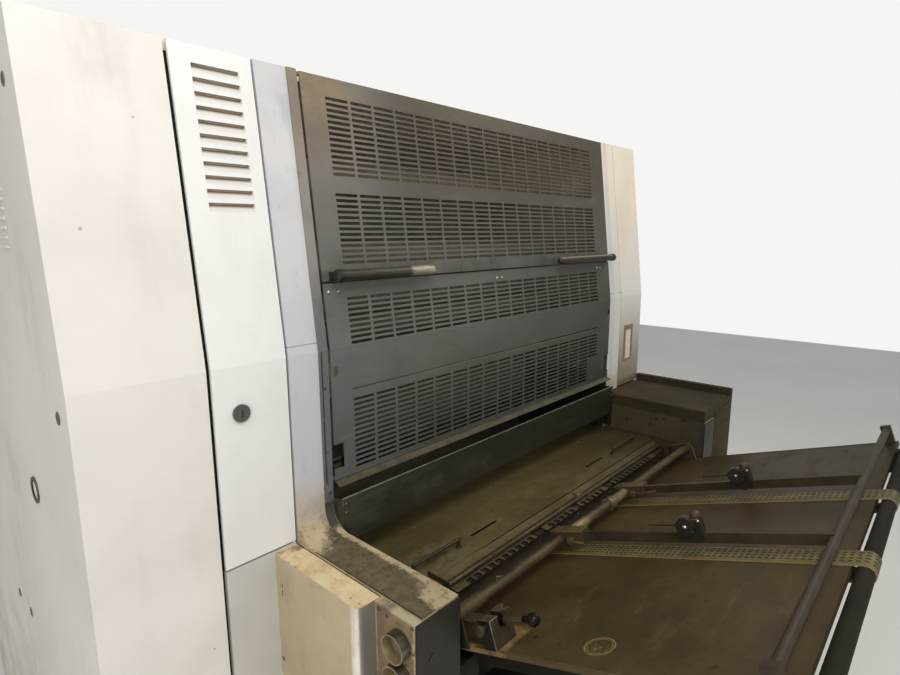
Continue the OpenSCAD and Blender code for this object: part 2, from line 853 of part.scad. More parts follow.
module air_stub(z) {
    translate([-frame_outer - stub_plate_t, -stub_y, z]) rotate([0, -90, 0]) difference() {
        cylinder(d = stub_d, h = stub_len);
        translate([0, 0, -1]) cylinder(d = stub_d - 2 * stub_wall, h = stub_len + 2);
    }
}

module air_stubs() {
    color("darkgray") {
        air_stub(stub_z);
        air_stub(stub_z - stub_pitch);
    }
}

module arm_end_plates() {
    h = arm_top - cover_gap - floor_gap;
    color("darkslategray") {
        translate([-frame_outer - stub_plate_t, -arm_len - end_plate_t, floor_gap])
            cube([frame_t + stub_plate_t, end_plate_t, h]);
        translate([half_gap, -arm_len - end_plate_t, floor_gap]) cube([frame_t, end_plate_t, h]);
    }
}

// Box beside the right arm, with a cap over the arm and a lip along its outer side
module drive_box() {
    x0 = half_gap + seat_gap;
    x1 = frame_outer + drive_box_w;
    edge = [for (a = [180:-15:90])
        [x0 + drive_edge_r * (1 + cos(a)), drive_top - drive_edge_r * (1 - sin(a))]];
    color("darkolivegreen") rotate([90, 0, 0]) linear_extrude(arm_len)
        polygon(concat([[frame_outer, 0], [frame_outer, arm_top], [x0, arm_top]], edge, [
            [x1 - drive_lip_w, drive_top], [x1 - drive_lip_w, drive_top + drive_lip_h],
            [x1, drive_top + drive_lip_h], [x1, 0]]));
}

// Infeed table
table_front = lip_y - lip_d / 2 - seat_gap;

module infeed_plate() {
    color("darkolivegreen")
        box_at(0, -table_front, table_z - table_t,
            [frame_gap - 2 * table_gap, table_front + table_in, table_t]);
}

// Ledges for the infeed plate and blocks for the board's rails, on the arms' inner faces
module arm_brackets() {
    x0 = rail_gap / 2 + rail_w;
    color("dimgray") both_sides() {
        translate([half_gap - ledge_w, seat_gap + beam_w / 2 - lip_y, table_z - table_t - ledge_h])
            cube([ledge_w, lip_y - beam_w / 2 + table_in - ledge_inset, ledge_h]);
        translate([x0, bracket_inset - arm_len, board_front_z - board_t - bracket_h])
            cube([half_gap - x0, bracket_len, bracket_h]);
    }
}

module lifting_handle() {
    z1 = table_z + lift_h - lift_d / 2;
    for (s = [-1, 1]) translate([lift_x + s * (lift_len - lift_d) / 2, -lift_y, table_z])
        cylinder(d = lift_d, h = lift_h - lift_d / 2);
    rod_x(lift_x - lift_len / 2, lift_x + lift_len / 2, -lift_y, z1, lift_d);
}

module lifting_handles() {
    color("black") both_sides() lifting_handle();
}

module lip_tube() {
    y1 = lip_stop_len - lip_y - lip_d;
    color("gray") {
        rod_x(-lip_left - lip_stop_t / 2, half_gap, -lip_y, lip_z, lip_d);
        across(-lip_left - lip_stop_t, -lip_left) polygon([
            [-lip_y - lip_d, lip_z - lip_d / 2], [-table_front, lip_z - lip_d / 2], [-table_front, table_z],
            [y1, table_z], [y1, table_z + lip_stop_h], [-lip_y - lip_d, table_z + lip_stop_h]]);
    }
}

// Plate with n slots along its front edge
module comb(x0, len, n) {
    back = lip_y - beam_w / 2;
    difference() {
        translate([x0, -comb_front, beam_top]) cube([len, comb_front - back, comb_t]);
        for (i = [0:n - 1])
            box_at(x0 + comb_margin + i * comb_pitch, comb_edge - comb_front, beam_top - 1,
                [comb_slot_w, comb_slot_len, comb_t + 2]);
    }
}

module comb_plates() {
    color("darkgray") both_sides() {
        comb(comb_x, comb_len, comb_slots);
        comb(outer_comb_x, outer_comb_len, outer_comb_slots);
    }
}

module cross_beam() {
    color("dimgray") box_at(0, -lip_y - beam_w / 2, beam_top - beam_h, [frame_gap, beam_w, beam_h]);
}

// Places a piece on the board: local Y runs down to the board's lower edge, local Z is its normal
module on_board() {
    translate([0, -board_front_y, board_front_z]) rotate([-board_slope, 0, 0]) children();
}

// Cross shaft and guide bars
module cross_shaft() {
    color("dimgray") on_board() {
        rod_x(-half_gap, half_gap, -shaft_u, shaft_h, shaft_d);
        rod_x(-half_gap, -sleeve_x, -shaft_u, shaft_h, sleeve_d);
        rod_x(collar_x - collar_w / 2, collar_x + collar_w / 2, -shaft_u, shaft_h, shaft_d + 2 * collar_wall);
    }
}

module bar_clamp(x) {
    on_board() difference() {
        box_at(x, -bar_start, clamp_top - clamp_h, [clamp_w, clamp_len, clamp_h]);
        rod_x(x - clamp_w, x + clamp_w, -shaft_u, shaft_h, shaft_d + 2 * barrel_gap);
    }
}

module bar_clamps() {
    color("dimgray") {
        bar_clamp(-bar_x);
        bar_clamp(bar_x);
    }
}

// The two bars, joined at their upper ends by a rod that stands on posts at the board's sides
module guide_bars() {
    rod_u = board_len - bar_inset;
    rod_h = bar_gap + bar_h / 2;
    color("black") on_board() {
        box_at(-bar_x, -rod_u, bar_gap, [bar_t, bar_len, bar_h]);
        box_at(bar_x, -rod_u, bar_gap, [bar_t, bar_len, bar_h]);
        rod_x(post_inset - board_w / 2, board_w / 2 - post_inset, -rod_u, rod_h, rear_rod_d);
        both_sides() box_at((board_w - post_w) / 2 - post_inset, -rod_u - post_len / 2, 0,
            [post_w, post_len, rod_h + post_over]);
    }
}

module wheel_carriage(x) {
    side = bar_t / 2 + carriage_wall;
    on_board() {
        difference() {
            box_at(x, -carriage_u - carriage_len, bar_top - carriage_drop,
                [2 * side, carriage_len, carriage_drop + carriage_over]);
            box_at(x, -carriage_u - carriage_len - 1, 0, [bar_t + 2 * barrel_gap, carriage_len + 2, bar_top + barrel_gap]);
        }
        translate([x + side, -carriage_u - wheel_in, bar_gap + wheel_rise])
            rotate([0, 90, 0]) cylinder(d = wheel_d, h = wheel_w);
        translate([x - side, -carriage_u - wheel_in, bar_top + nut_rise])
            rotate([0, -90, 0]) cylinder(d = nut_d, h = wheel_w);
        translate([x, -carriage_u - carriage_len * 0.8, bar_top + carriage_over - 1])
            cylinder(d = knob_d, h = knob_h + 1);
        translate([x, -carriage_u - 1, bar_top + finger_rise])
            rotate([-90, 0, 0]) cylinder(d = finger_d, h = finger_len + 1);
    }
}

module wheel_carriages() {
    color("black") {
        wheel_carriage(-bar_x);
        wheel_carriage(bar_x);
    }
}

// Feed board
module feed_board() {
    color("saddlebrown") on_board() box_at(0, -board_len, -board_t, [board_w, board_len, board_t]);
}

module board_rails() {
    color("dimgray") both_sides() on_board()
        translate([rail_gap / 2, -board_len - end_roller_d, -board_t - rail_h])
            cube([rail_w, board_len + end_roller_d, rail_h]);
}

// Outline of a closed tape round its two rollers, moved out by m
function loop_outline(m) = concat(
    [for (a = [90:-15:-90]) let (r = nose_d / 2 + m) [nose_out + r * cos(a), -nose_d / 2 + r * sin(a)]],
    [for (a = [270:-15:90]) let (r = end_roller_d / 2 + m)
        [r * cos(a) - end_roller_u, -end_roller_d / 2 + r * sin(a)]]);

module suction_tape(x) {
    on_board() across(x - tape_w / 2, x + tape_w / 2) difference() {
        polygon(loop_outline(tape_t + tape_gap));
        polygon(loop_outline(tape_gap));
    }
}

module suction_tapes() {
    color("olive") both_sides() suction_tape(tape_x);
}

module board_rollers() {
    color("gray") on_board() {
        rod_x(-half_gap, half_gap, nose_out, -nose_d / 2, nose_d);
        rod_x(-rail_gap / 2, rail_gap / 2, -end_roller_u, -end_roller_d / 2, end_roller_d);
    }
}

// Ball lever
module lever_bracket() {
    color("dimgray") on_board() difference() {
        box_at(lever_x, -lever_u - lever_bracket_len / 2, 0, [bracket_w, lever_bracket_len, lever_h + bracket_over]);
        box_at(lever_x, -lever_u - lever_bracket_len, lever_h - hub_d / 2 - hub_gap,
            [bracket_slot, 2 * lever_bracket_len, lever_h]);
        rod_x(lever_x - bracket_w, lever_x + bracket_w, -lever_u, lever_h, pivot_d + 2 * barrel_gap);
    }
}

module ball_lever() {
    color("black") on_board() translate([0, -lever_u, lever_h]) {
        rod_x(lever_x - bracket_w / 2, lever_x + bracket_w / 2, 0, 0, pivot_d);
        rod_x(lever_x - hub_w / 2, lever_x + hub_w / 2, 0, 0, hub_d);
        translate([lever_x, 0, 0]) rotate([90 - lever_rise, 0, 0]) {
            cylinder(d = lever_d, h = lever_len);
            translate([0, 0, lever_len]) sphere(d = ball_d);
        }
    }
}

// Cylinders and rollers inside the unit
module cylinder_between(y, z, d, journal) {
    rod_x(-half_gap + body_gap, half_gap - body_gap, y, z, d);
    rod_x(-half_gap, half_gap, y, z, journal);
}

module plate_cylinder() {
    color("silver") cylinder_between(plate_y, plate_z, cylinder_d, journal_d);
}

module blanket_cylinder() {
    color("darkslateblue") cylinder_between(blanket_y, blanket_z, cylinder_d, journal_d);
}

module impression_cylinder() {
    color("silver") cylinder_between(impression_y, impression_z, impression_d, impression_journal_d);
}

// Closed trough over the rollers, from frame to frame
module ink_fountain() {
    y0 = plate_y + fountain_in;
    z1 = unit_top - roof_t - cover_gap;
    color("dimgray") across(-half_gap, half_gap)
        polygon([[y0, z1 - fountain_h / 2], [y0, z1], [y0 + fountain_w, z1], [y0 + fountain_w, z1 - fountain_h],
            [y0 + fountain_w / 2, z1 - fountain_h]]);
}

// A roller at an angle round the plate cylinder, its axis at the distance r
module ink_roller(r, a, d) {
    cylinder_between(plate_y + r * cos(a), plate_z + r * sin(a), d, roller_journal_d);
}

module ink_rollers() {
    reach = (cylinder_d + form_roller_d) / 2 + cylinder_gap;
    high = (cylinder_d + distributor_d) / 2 + form_roller_d + roller_space;
    color("dimgray") {
        for (i = [0:form_rollers - 1])
            ink_roller(reach, form_angle + i * form_step, form_roller_d);
        for (i = [0:1])
            ink_roller(high, distributor_angle + i * distributor_step, distributor_d);
        cylinder_between(plate_y + fountain_shift, unit_top - fountain_drop, distributor_d, roller_journal_d);
    }
}

base_bed();
left_side_frame();
right_side_frame();
roof_covers();
aprons();
guard_channel();
upper_guard();
guard_handles();
lower_guard();
rear_guards();
front_plate();
left_housing_core();
left_door();
door_lock();
left_kick_panel();
left_outer_cover();
left_side_panels();
right_housing_core();
right_front_cover();
right_side_panels();
rear_covers();
left_arm_cover();
air_port_plate();
air_stubs();
arm_end_plates();
drive_box();
infeed_plate();
lifting_handles();
lip_tube();
comb_plates();
cross_beam();
cross_shaft();
bar_clamps();
guide_bars();
wheel_carriages();
feed_board();
board_rails();
arm_brackets();
suction_tapes();
board_rollers();
lever_bracket();
ball_lever();
plate_cylinder();
blanket_cylinder();
impression_cylinder();
ink_rollers();
ink_fountain();
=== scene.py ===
import math
import bpy
import bmesh
from mathutils import Matrix, Vector


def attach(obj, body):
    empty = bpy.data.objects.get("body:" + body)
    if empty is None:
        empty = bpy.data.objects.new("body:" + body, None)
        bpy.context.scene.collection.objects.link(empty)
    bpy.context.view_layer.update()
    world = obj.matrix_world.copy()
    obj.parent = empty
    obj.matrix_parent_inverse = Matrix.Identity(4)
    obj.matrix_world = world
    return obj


# Printing unit with feed board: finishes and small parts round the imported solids
# Metres, X across the press, Y along the way of the sheet
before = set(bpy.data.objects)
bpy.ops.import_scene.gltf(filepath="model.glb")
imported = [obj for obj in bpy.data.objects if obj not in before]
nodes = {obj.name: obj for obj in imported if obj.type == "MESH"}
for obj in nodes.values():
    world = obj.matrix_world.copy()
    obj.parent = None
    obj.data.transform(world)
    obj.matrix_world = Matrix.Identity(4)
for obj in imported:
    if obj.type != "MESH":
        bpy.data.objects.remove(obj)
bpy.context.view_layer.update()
print("frame loaded:", len(nodes), "solids")

unit = {"halfGap": 0.715, "frameOuter": 0.820, "kink": 1.450, "lean": math.radians(6.8), "proud": 0.006,
        "roof": 2.090, "depth": 1.300}
board = {"slope": math.radians(20), "edgeY": -0.318, "edgeZ": 0.832, "length": 0.730}


def frontY(z):  # front plane of the unit at a height
    return max(0.0, z - unit["kink"]) * math.tan(unit["lean"])


def onBoard(x, up, height):  # a point on the feed board: up its slope, and off its face
    s, c = math.sin(board["slope"]), math.cos(board["slope"])
    return Vector((x, board["edgeY"] - up * c + height * s, board["edgeZ"] + up * s + height * c))


boardTurn = Matrix.Rotation(-board["slope"], 4, "X")


# ---- finishes: Python expressions on sockets
class Wire:
    def __init__(self, finish, socket):
        self.finish, self.socket = finish, socket

    def math(self, operation, first, second):
        return self.finish.node("Math", {"operation": operation}, {0: first, 1: second})

    def __add__(self, other):
        return self.math("ADD", self, other)

    def __radd__(self, other):
        return self.math("ADD", other, self)

    def __sub__(self, other):
        return self.math("SUBTRACT", self, other)

    def __rsub__(self, other):
        return self.math("SUBTRACT", other, self)

    def __mul__(self, other):
        return self.math("MULTIPLY", self, other)

    def __rmul__(self, other):
        return self.math("MULTIPLY", other, self)

    def __or__(self, other):  # the stronger of two masks
        return self.math("MAXIMUM", self, other)

    def __abs__(self):
        return self.math("ABSOLUTE", self, 0.0)

    def __mod__(self, other):
        return self.math("FLOORED_MODULO", self, other)

    def step(self, low, high, start=0.0, end=1.0):  # smooth step from start to end
        return self.finish.node("MapRange", {"interpolation_type": "SMOOTHSTEP"},
                                {"Value": self, "From Min": low, "From Max": high, "To Min": start,
                                 "To Max": end})

    def near(self, middle, half, soft):  # 1 within half of the middle, falling to 0 over soft
        return abs(self - middle).step(half + soft, half)


class Finish:
    def __init__(self, name):
        self.material = bpy.data.materials.new(name)
        self.material.use_nodes = True
        self.tree = self.material.node_tree
        self.shader = self.tree.nodes["Principled BSDF"]
        self.place = self.node("TexCoord", {}, {}, "Object")
        self.x, self.y, self.z = (self.node("SeparateXYZ", {}, {0: self.place}, i) for i in range(3))
        self.facing = self.node("TexCoord", {}, {}, "Normal")

    def node(self, kind, settings, sockets, out=0):
        new = self.tree.nodes.new("ShaderNode" + kind)
        for key, value in settings.items():
            setattr(new, key, value)
        for key, value in sockets.items():
            if isinstance(value, Wire):
                self.tree.links.new(value.socket, new.inputs[key])
            else:
                new.inputs[key].default_value = value
        return Wire(self, new.outputs[out])

    def noise(self, scale, detail=4.0, rough=0.55, stretch=(1, 1, 1), shift=(0, 0, 0)):
        at = self.node("Mapping", {}, {0: self.place, 1: shift, 3: stretch})
        return self.node("TexNoise", {}, {"Vector": at, "Scale": scale, "Detail": detail, "Roughness": rough},
                         "Fac")

    def specks(self, scale, size, share):  # small round marks on a share of the cells
        cell = self.node("TexVoronoi", {}, {"Vector": self.place, "Scale": scale}, "Distance")
        pick = self.node("TexVoronoi", {}, {"Vector": self.place, "Scale": scale}, "Color")
        chance = self.node("SeparateColor", {}, {0: pick}, 0)
        return cell.step(size, size * 0.6) * chance.step(share, share * 0.9)

    def turned(self, axis):  # how much the surface faces along an axis
        return self.node("SeparateXYZ", {}, {0: self.facing}, "XYZ".index(axis))

    def mix(self, factor, first, second):
        return self.node("Mix", {"data_type": "RGBA"}, {0: factor, 6: first, 7: second}, 2)

    def close(self, colour, roughness, metallic=0.0, height=None, depth=0.001, coat=0.0, shine=0.5, glow=None):
        for name, value in {"Base Color": colour, "Roughness": roughness, "Metallic": metallic,
                            "Coat Weight": coat}.items():
            if isinstance(value, Wire):
                self.tree.links.new(value.socket, self.shader.inputs[name])
            else:
                self.shader.inputs[name].default_value = value
        self.shader.inputs["Specular IOR Level"].default_value = shine
        if glow:  # stray light on the closed inside: a share of the colour
            dark = (0.0, 0.0, 0.0, 1.0)
            lit = self.mix(glow, dark, colour)
            self.tree.links.new(lit.socket, self.shader.inputs["Emission Color"])
            self.shader.inputs["Emission Strength"].default_value = 1.0
        if height:
            bump = self.node("Bump", {}, {"Height": height, "Distance": depth, "Strength": 1.0}, "Normal")
            self.tree.links.new(bump.socket, self.shader.inputs["Normal"])
        return self.material


def tone(red, green, blue):  # a screen colour, 0 to 255, as scene linear
    return tuple(((c / 255 + 0.055) / 1.055) ** 2.4 if c > 10 else c / 3294.6 for c in (red, green, blue)) + (1.0,)


def whitePaint(name, base, shade, grime, grimeTop=0.9, wear=0.3, pockets=False):
    f = Finish(name)
    cloud = f.noise(2.2, 5)
    smudge = f.noise(5.5, 7, 0.62, (1, 1, 0.45), (3, 1, 2)).step(0.56, 0.78)
    streak = f.noise(9, 4, 0.6, (1.4, 1.4, 0.12), (0, 4, 1)).step(0.55, 0.8)
    low = f.z.step(grimeTop, 0.02) * f.noise(7, 6, 0.65).step(0.30, 0.75)
    colour = f.mix(cloud.step(0.35, 0.7), base, shade)
    colour = f.mix(smudge * wear, colour, tone(150, 146, 138))
    colour = f.mix(streak * wear * 0.5, colour, tone(170, 165, 154))
    colour = f.mix(low * 0.8, colour, grime)
    colour = f.mix(f.specks(26, 0.10, 0.10) * 0.6, colour, tone(92, 84, 72))
    if pockets:  # painted shade in the pressed louvres and a painted soft shadow under each
        plane = ((f.z - unit["kink"]) * math.tan(unit["lean"])) | 0.0
        inside = (f.y - plane).step(0.0012, 0.0075)
        across = f.x.near(-0.906, 0.047, 0.006)
        shadowUnder = ((2.0551 - f.z) % 0.027).step(0.0215, 0.0120) * f.z.step(1.757, 1.762) * f.z.step(2.0555, 2.0550)
        colour = f.mix(shadowUnder * across * 0.30, colour, tone(176, 168, 152))
        colour = f.mix(inside * across * 0.9, colour, tone(140, 128, 110))
    peel = f.noise(420, 2, 0.5)
    return f.close(colour, 0.36 + 0.22 * smudge + 0.12 * cloud, height=peel, depth=0.00008)


def rightCoverPaint(name):
    f = Finish(name)
    cloud = f.noise(3, 6, 0.6)
    colour = f.mix(cloud.step(0.35, 0.7), tone(238, 230, 216), tone(226, 216, 199))
    colour = f.mix(f.z.step(1.85, 1.45) * 0.8, colour, tone(220, 219, 214))
    shade = f.z.step(1.50, 1.09) * 0.95
    colour = f.mix(shade, colour, tone(138, 131, 107))
    edge = (f.z + 0.05 * f.noise(16, 8, 0.7)).step(1.115, 1.085)
    colour = f.mix(edge * 0.85, colour, tone(104, 92, 70))
    colour = f.mix(f.noise(30, 8, 0.75).step(0.62, 0.68) * f.z.step(1.30, 1.12), colour, tone(112, 100, 78))
    ragged = 0.012 * f.noise(45, 5)
    patch = f.x.near(0.907, 0.044, 0.002) * f.z.near(1.238, 0.080, 0.003) * f.y.step(0.011, 0.008)
    core = (f.x + ragged).near(0.915, 0.021, 0.004) * (f.z + ragged).near(1.238, 0.062, 0.006)
    colour = f.mix(patch, colour, tone(132, 116, 92))
    colour = f.mix(patch * core, colour, tone(216, 211, 200))
    return f.close(colour, 0.42 + 0.2 * cloud + 0.3 * patch, height=f.noise(420, 2) + 3 * patch, depth=0.0001)


def framePaint(name):
    f = Finish(name)
    # the arms in front of the posts
    arm = (f.y + 0.012 * f.noise(30, 5)).step(0.016, -0.004) * f.z.step(1.12, 1.045)
    up = f.turned("Z").step(0.35, 0.8)
    far = f.x.step(-0.1, 0.1)
    cloud = f.noise(4, 6, 0.6)
    white = f.mix(cloud.step(0.35, 0.7), tone(212, 210, 210), tone(194, 194, 199))
    white = f.mix(f.z.step(2.0, 1.3) * 0.8, white, tone(198, 198, 203))
    white = f.mix(f.noise(7, 8, 0.66, (1, 1, 0.35)).step(0.54, 0.74) * 0.5, white, tone(156, 156, 162))
    white = f.mix(f.noise(19, 9, 0.74, (1, 1, 0.6), (2, 1, 5)).step(0.60, 0.70) * 0.35, white,
                  tone(140, 138, 138))
    rightTone = f.mix(f.z.step(1.5, 1.95), tone(220, 218, 214), tone(240, 229, 210))
    white = f.mix(far * (0.8 - 0.5 * f.x.near(0.748, 0.010, 0.012)), white, rightTone)
    seam = f.z.near(1.4715, 0.0008, 0.0008) * f.noise(24, 3).step(0.38, 0.5)
    white = f.mix(seam * 0.75, white, tone(120, 118, 120))
    foot = (f.z + 0.06 * f.noise(18, 7, 0.7)).step(1.20, 1.10) * f.noise(14, 7, 0.7).step(0.30, 0.62)
    white = f.mix(foot * 0.7, white, tone(190, 176, 148))
    white = f.mix(f.specks(70, 0.2, 0.2) * f.z.step(1.16, 1.08) * 0.8, white, tone(88, 72, 52))
    cream = f.mix(cloud.step(0.3, 0.7), tone(186, 170, 138), tone(164, 148, 116))
    across = (f.x + 0.820) * (1 / 0.105)  # 0 at the outer edge of the left arm, 1 at its inner edge
    along = f.y * (-1 / 0.417)
    middle = across.step(1.05, 0.68) * (along + 0.35 * across).step(0.10, 0.46)
    field = middle * (1 - 0.85 * along.step(0.70, 0.96) * across.step(0.10, 0.60)) + 0.25 * across.step(0.5, 0.0)
    chips = 0.8 * f.noise(13, 14, 0.78, (1, 0.8, 1)) + 0.75 * f.noise(62, 9, 0.78, (1, 1, 1), (3, 3, 1))
    worn = (chips + 0.62 * field).step(1.08, 1.17)
    bare = f.mix(f.noise(26, 9, 0.76).step(0.36, 0.64), tone(76, 67, 47), tone(108, 95, 68))
    bare = f.mix(f.noise(90, 6, 0.7).step(0.52, 0.66) * 0.6, bare, tone(64, 55, 38))
    cream = f.mix(f.noise(34, 11, 0.78).step(0.50, 0.60) * 0.7, cream, tone(112, 97, 70))
    top = f.mix(worn, cream, bare)
    fringe = (chips + 0.62 * field).near(1.075, 0.012, 0.02)
    top = f.mix(fringe * 0.6, top, tone(70, 58, 38))
    top = f.mix(f.specks(95, 0.22, 0.28) * 0.7, top, tone(60, 50, 36))
    line = f.x.near(-0.8175, 0.0012, 0.0008)
    top = f.mix(line * f.noise(40, 4).step(0.35, 0.5), top, tone(36, 30, 22))
    side = f.mix(f.noise(11, 8, 0.7, (1, 1, 0.6)).step(0.52, 0.64) * 0.7, cream, tone(98, 86, 66))
    inner = f.mix(f.noise(9, 7, 0.65, (1, 1, 0.5)).step(0.35, 0.68), tone(46, 41, 28), tone(66, 58, 39))
    plateTop = (f.z + 0.017 * f.y).step(1.0060, 1.0045)
    plate = plateTop * f.y.step(-0.329, -0.327) * f.z.step(0.900, 0.904) * far
    inner = f.mix(plate * 0.6, inner, tone(78, 67, 43))
    # a light line along the plate's top edge: painted highlight and wear
    ridgeHighlight = (f.z + 0.017 * f.y).near(1.0060, 0.0010, 0.0010) * f.y.step(-0.329, -0.327) * far
    inner = f.mix(ridgeHighlight * 0.8, inner, tone(118, 104, 74))
    holes = f.y.near(-0.104, 0.004, 0.001) * f.z.near(0.948, 0.004, 0.001)
    holes = holes | (f.y.near(-0.338, 0.010, 0.002) * f.z.near(0.998, 0.008, 0.002))
    for y, z in ((-0.204, 0.949), (-0.228, 0.976), (-0.260, 0.983)):
        holes = holes | (f.y.near(y, 0.004, 0.001) * f.z.near(z, 0.004, 0.001))
    inner = f.mix(holes * far * 0.9, inner, tone(16, 14, 10))
    armTone = f.mix(up, side, top)
    towardsMiddle = abs(f.x).step(0.7165, 0.7155)
    armTone = f.mix(towardsMiddle * (1 - up), armTone, inner)
    armTone = f.mix(far * up, armTone, f.mix(f.noise(12, 8, 0.72).step(0.36, 0.66), tone(50, 42, 25),
                                             tone(82, 69, 43)))
    colour = f.mix(arm, white, armTone)
    # the faces towards the middle, behind the guards: lighter at the top and darker downward, painted shade inside the
    # housing
    closed = f.mix(f.z.step(1.93, 1.85), tone(190, 178, 146), tone(126, 119, 98))
    closed = f.mix(f.z.step(1.56, 1.36), closed, tone(84, 80, 66))
    closed = f.mix(f.z.step(1.14, 1.11), closed, tone(40, 37, 27))
    colour = f.mix(towardsMiddle * (1 - arm), colour, closed)
    colour = f.mix(f.z.step(0.22, 0.06) * arm * 0.9, colour, tone(58, 52, 41))
    under = f.x.near(-0.7285, 0.0120, 0.0006) * f.z.step(1.004, 1.016)
    under = under * f.z.step(1.0775, 1.0765) * f.turned("Y").step(-0.3, -0.6)
    colour = f.mix(under * 0.94, colour, tone(56, 56, 49))
    hole = f.node("VectorMath", {"operation": "DISTANCE"}, {0: f.place, 1: (-0.767, 0.0, 1.026)},
                  "Value").step(0.0062, 0.0048)
    colour = f.mix(hole * 0.85, colour, tone(52, 44, 32))
    height = f.noise(300, 3) * 0.4 + arm * up * (1 - worn) * 1.5
    stray = towardsMiddle * f.y.step(0.02, 0.06) * f.z.step(1.12, 1.16) * 0.05
    return f.close(colour, 0.42 + 0.2 * cloud + 0.15 * arm, height=height, depth=0.0002, glow=stray)


def sideCoverPaint(name):
    f = Finish(name)
    up = f.turned("Z").step(0.35, 0.8)
    cloud = f.noise(5, 6, 0.6)
    cream = f.mix(cloud.step(0.35, 0.7), tone(198, 183, 153), tone(180, 165, 134))
    smudge = f.noise(9, 8, 0.68, (1, 1, 0.5)).step(0.54, 0.72)
    side = f.mix(smudge * 0.4, cream, tone(146, 130, 102))
    marks = f.y.near(-0.023, 0.0016, 0.0010) * (f.z.near(0.926, 0.004, 0.002) | f.z.near(0.908, 0.007, 0.003))
    marks = marks | (f.y.near(-0.010, 0.004, 0.002) * f.z.near(0.730, 0.004, 0.002))
    side = f.mix(marks, side, tone(66, 56, 40))
    top = f.mix(f.noise(14, 9, 0.74).step(0.40, 0.66), tone(218, 200, 162), tone(190, 164, 120))
    rim = f.x.step(-0.897, -0.905) | f.y.step(-0.035, -0.020)
    top = f.mix((f.noise(30, 11, 0.78) + 0.10 * rim).step(0.585, 0.66) * 0.75, top, tone(112, 96, 68))
    top = f.mix(f.specks(60, 0.24, 0.18) * 0.75, top, tone(70, 58, 40))
    line = f.x.near(-0.8225, 0.0012, 0.0008)
    top = f.mix(line, top, tone(36, 30, 22))
    colour = f.mix(up, side, top)
    # a patchy bright strip on the front rounding: painted highlight
    edge = f.y.step(-0.272, -0.284) * f.y.step(-0.302, -0.293) * (1 - up)
    colour = f.mix(edge * (0.55 + 0.6 * f.noise(26, 5, 0.6, (1, 1, 0.5)).step(0.4, 0.6)) * 0.85, colour,
                   tone(238, 233, 222))
    # darker grey on the faces past the front rounding: painted shade
    behind = f.y.step(-0.2955, -0.2985) * (1 - up)
    colour = f.mix(behind * 0.8, colour, tone(92, 92, 94))
    colour = f.mix(f.z.step(0.9, 0.05) * f.noise(7, 6).step(0.3, 0.7) * 0.7, colour, tone(132, 116, 90))
    return f.close(colour, 0.4 + 0.25 * smudge, height=f.noise(300, 3), depth=0.0001)


def portPaint(name):
    f = Finish(name)
    cloud = f.noise(12, 8, 0.7)
    colour = f.mix(cloud.step(0.36, 0.66), tone(158, 138, 104), tone(130, 112, 80))
    colour = f.mix(f.noise(26, 8, 0.75, (1, 1, 0.5)).step(0.56, 0.66) * 0.6, colour, tone(178, 160, 126))
    rim = (f.y.near(-0.3035, 0.0016, 0.0008) | f.y.near(-0.4135, 0.0016, 0.0008) | f.z.step(0.9915, 0.9925)) * 0.75
    colour = f.mix(rim * f.noise(30, 4).step(0.25, 0.5), colour, tone(196, 184, 156))
    dirt = (f.z.step(0.972, 0.992) * f.y.near(-0.325, 0.012, 0.02) + f.z.step(0.90, 0.80)) * 0.7
    colour = f.mix(dirt * f.noise(18, 6, 0.7).step(0.3, 0.6), colour, tone(56, 46, 32))
    return f.close(colour, 0.42 + 0.25 * cloud, 0.2, f.noise(240, 4), 0.00015)


def stubSteel(name):
    f = Finish(name)
    cover = f.noise(22, 8, 0.7, (0.4, 1, 1))
    colour = f.mix(cover.step(0.36, 0.64), tone(128, 122, 110), tone(74, 70, 58))
    away = abs(f.z - 0.9055) - 0.0345  # height over the nearer bore's axis
    side = f.y + 0.377
    radius = f.node("Math", {"operation": "SQRT"}, {0: away * away + side * side})
    bore = radius.step(0.0288, 0.0280)
    tan = f.mix(f.noise(30, 7, 0.7).step(0.36, 0.64), tone(150, 132, 98), tone(118, 102, 72))
    colour = f.mix(bore, colour, tan)
    colour = f.mix(f.noise(50, 6, 0.7).step(0.60, 0.70) * 0.7, colour, tone(62, 52, 36))
    return f.close(colour, 0.24 + 0.3 * bore + 0.2 * cover, (1 - bore) * 0.85, cover, 0.0002)


def leverCast(name):
    f = Finish(name)
    up = f.turned("Z").step(0.5, 0.85)
    cloud = f.noise(40, 8, 0.72)
    colour = f.mix(cloud.step(0.36, 0.64), tone(68, 60, 43), tone(54, 46, 31))
    # faces turned to the left painted darker and upward faces lighter: painted shade and painted light
    colour = f.mix(f.turned("X").step(-0.4, -0.8), colour, tone(34, 29, 18))
    colour = f.mix(up, colour, f.mix(cloud.step(0.4, 0.6), tone(100, 90, 65), tone(70, 62, 41)))
    return f.close(colour, 0.42 + 0.25 * cloud, 0.15, cloud, 0.0002, shine=0.3)


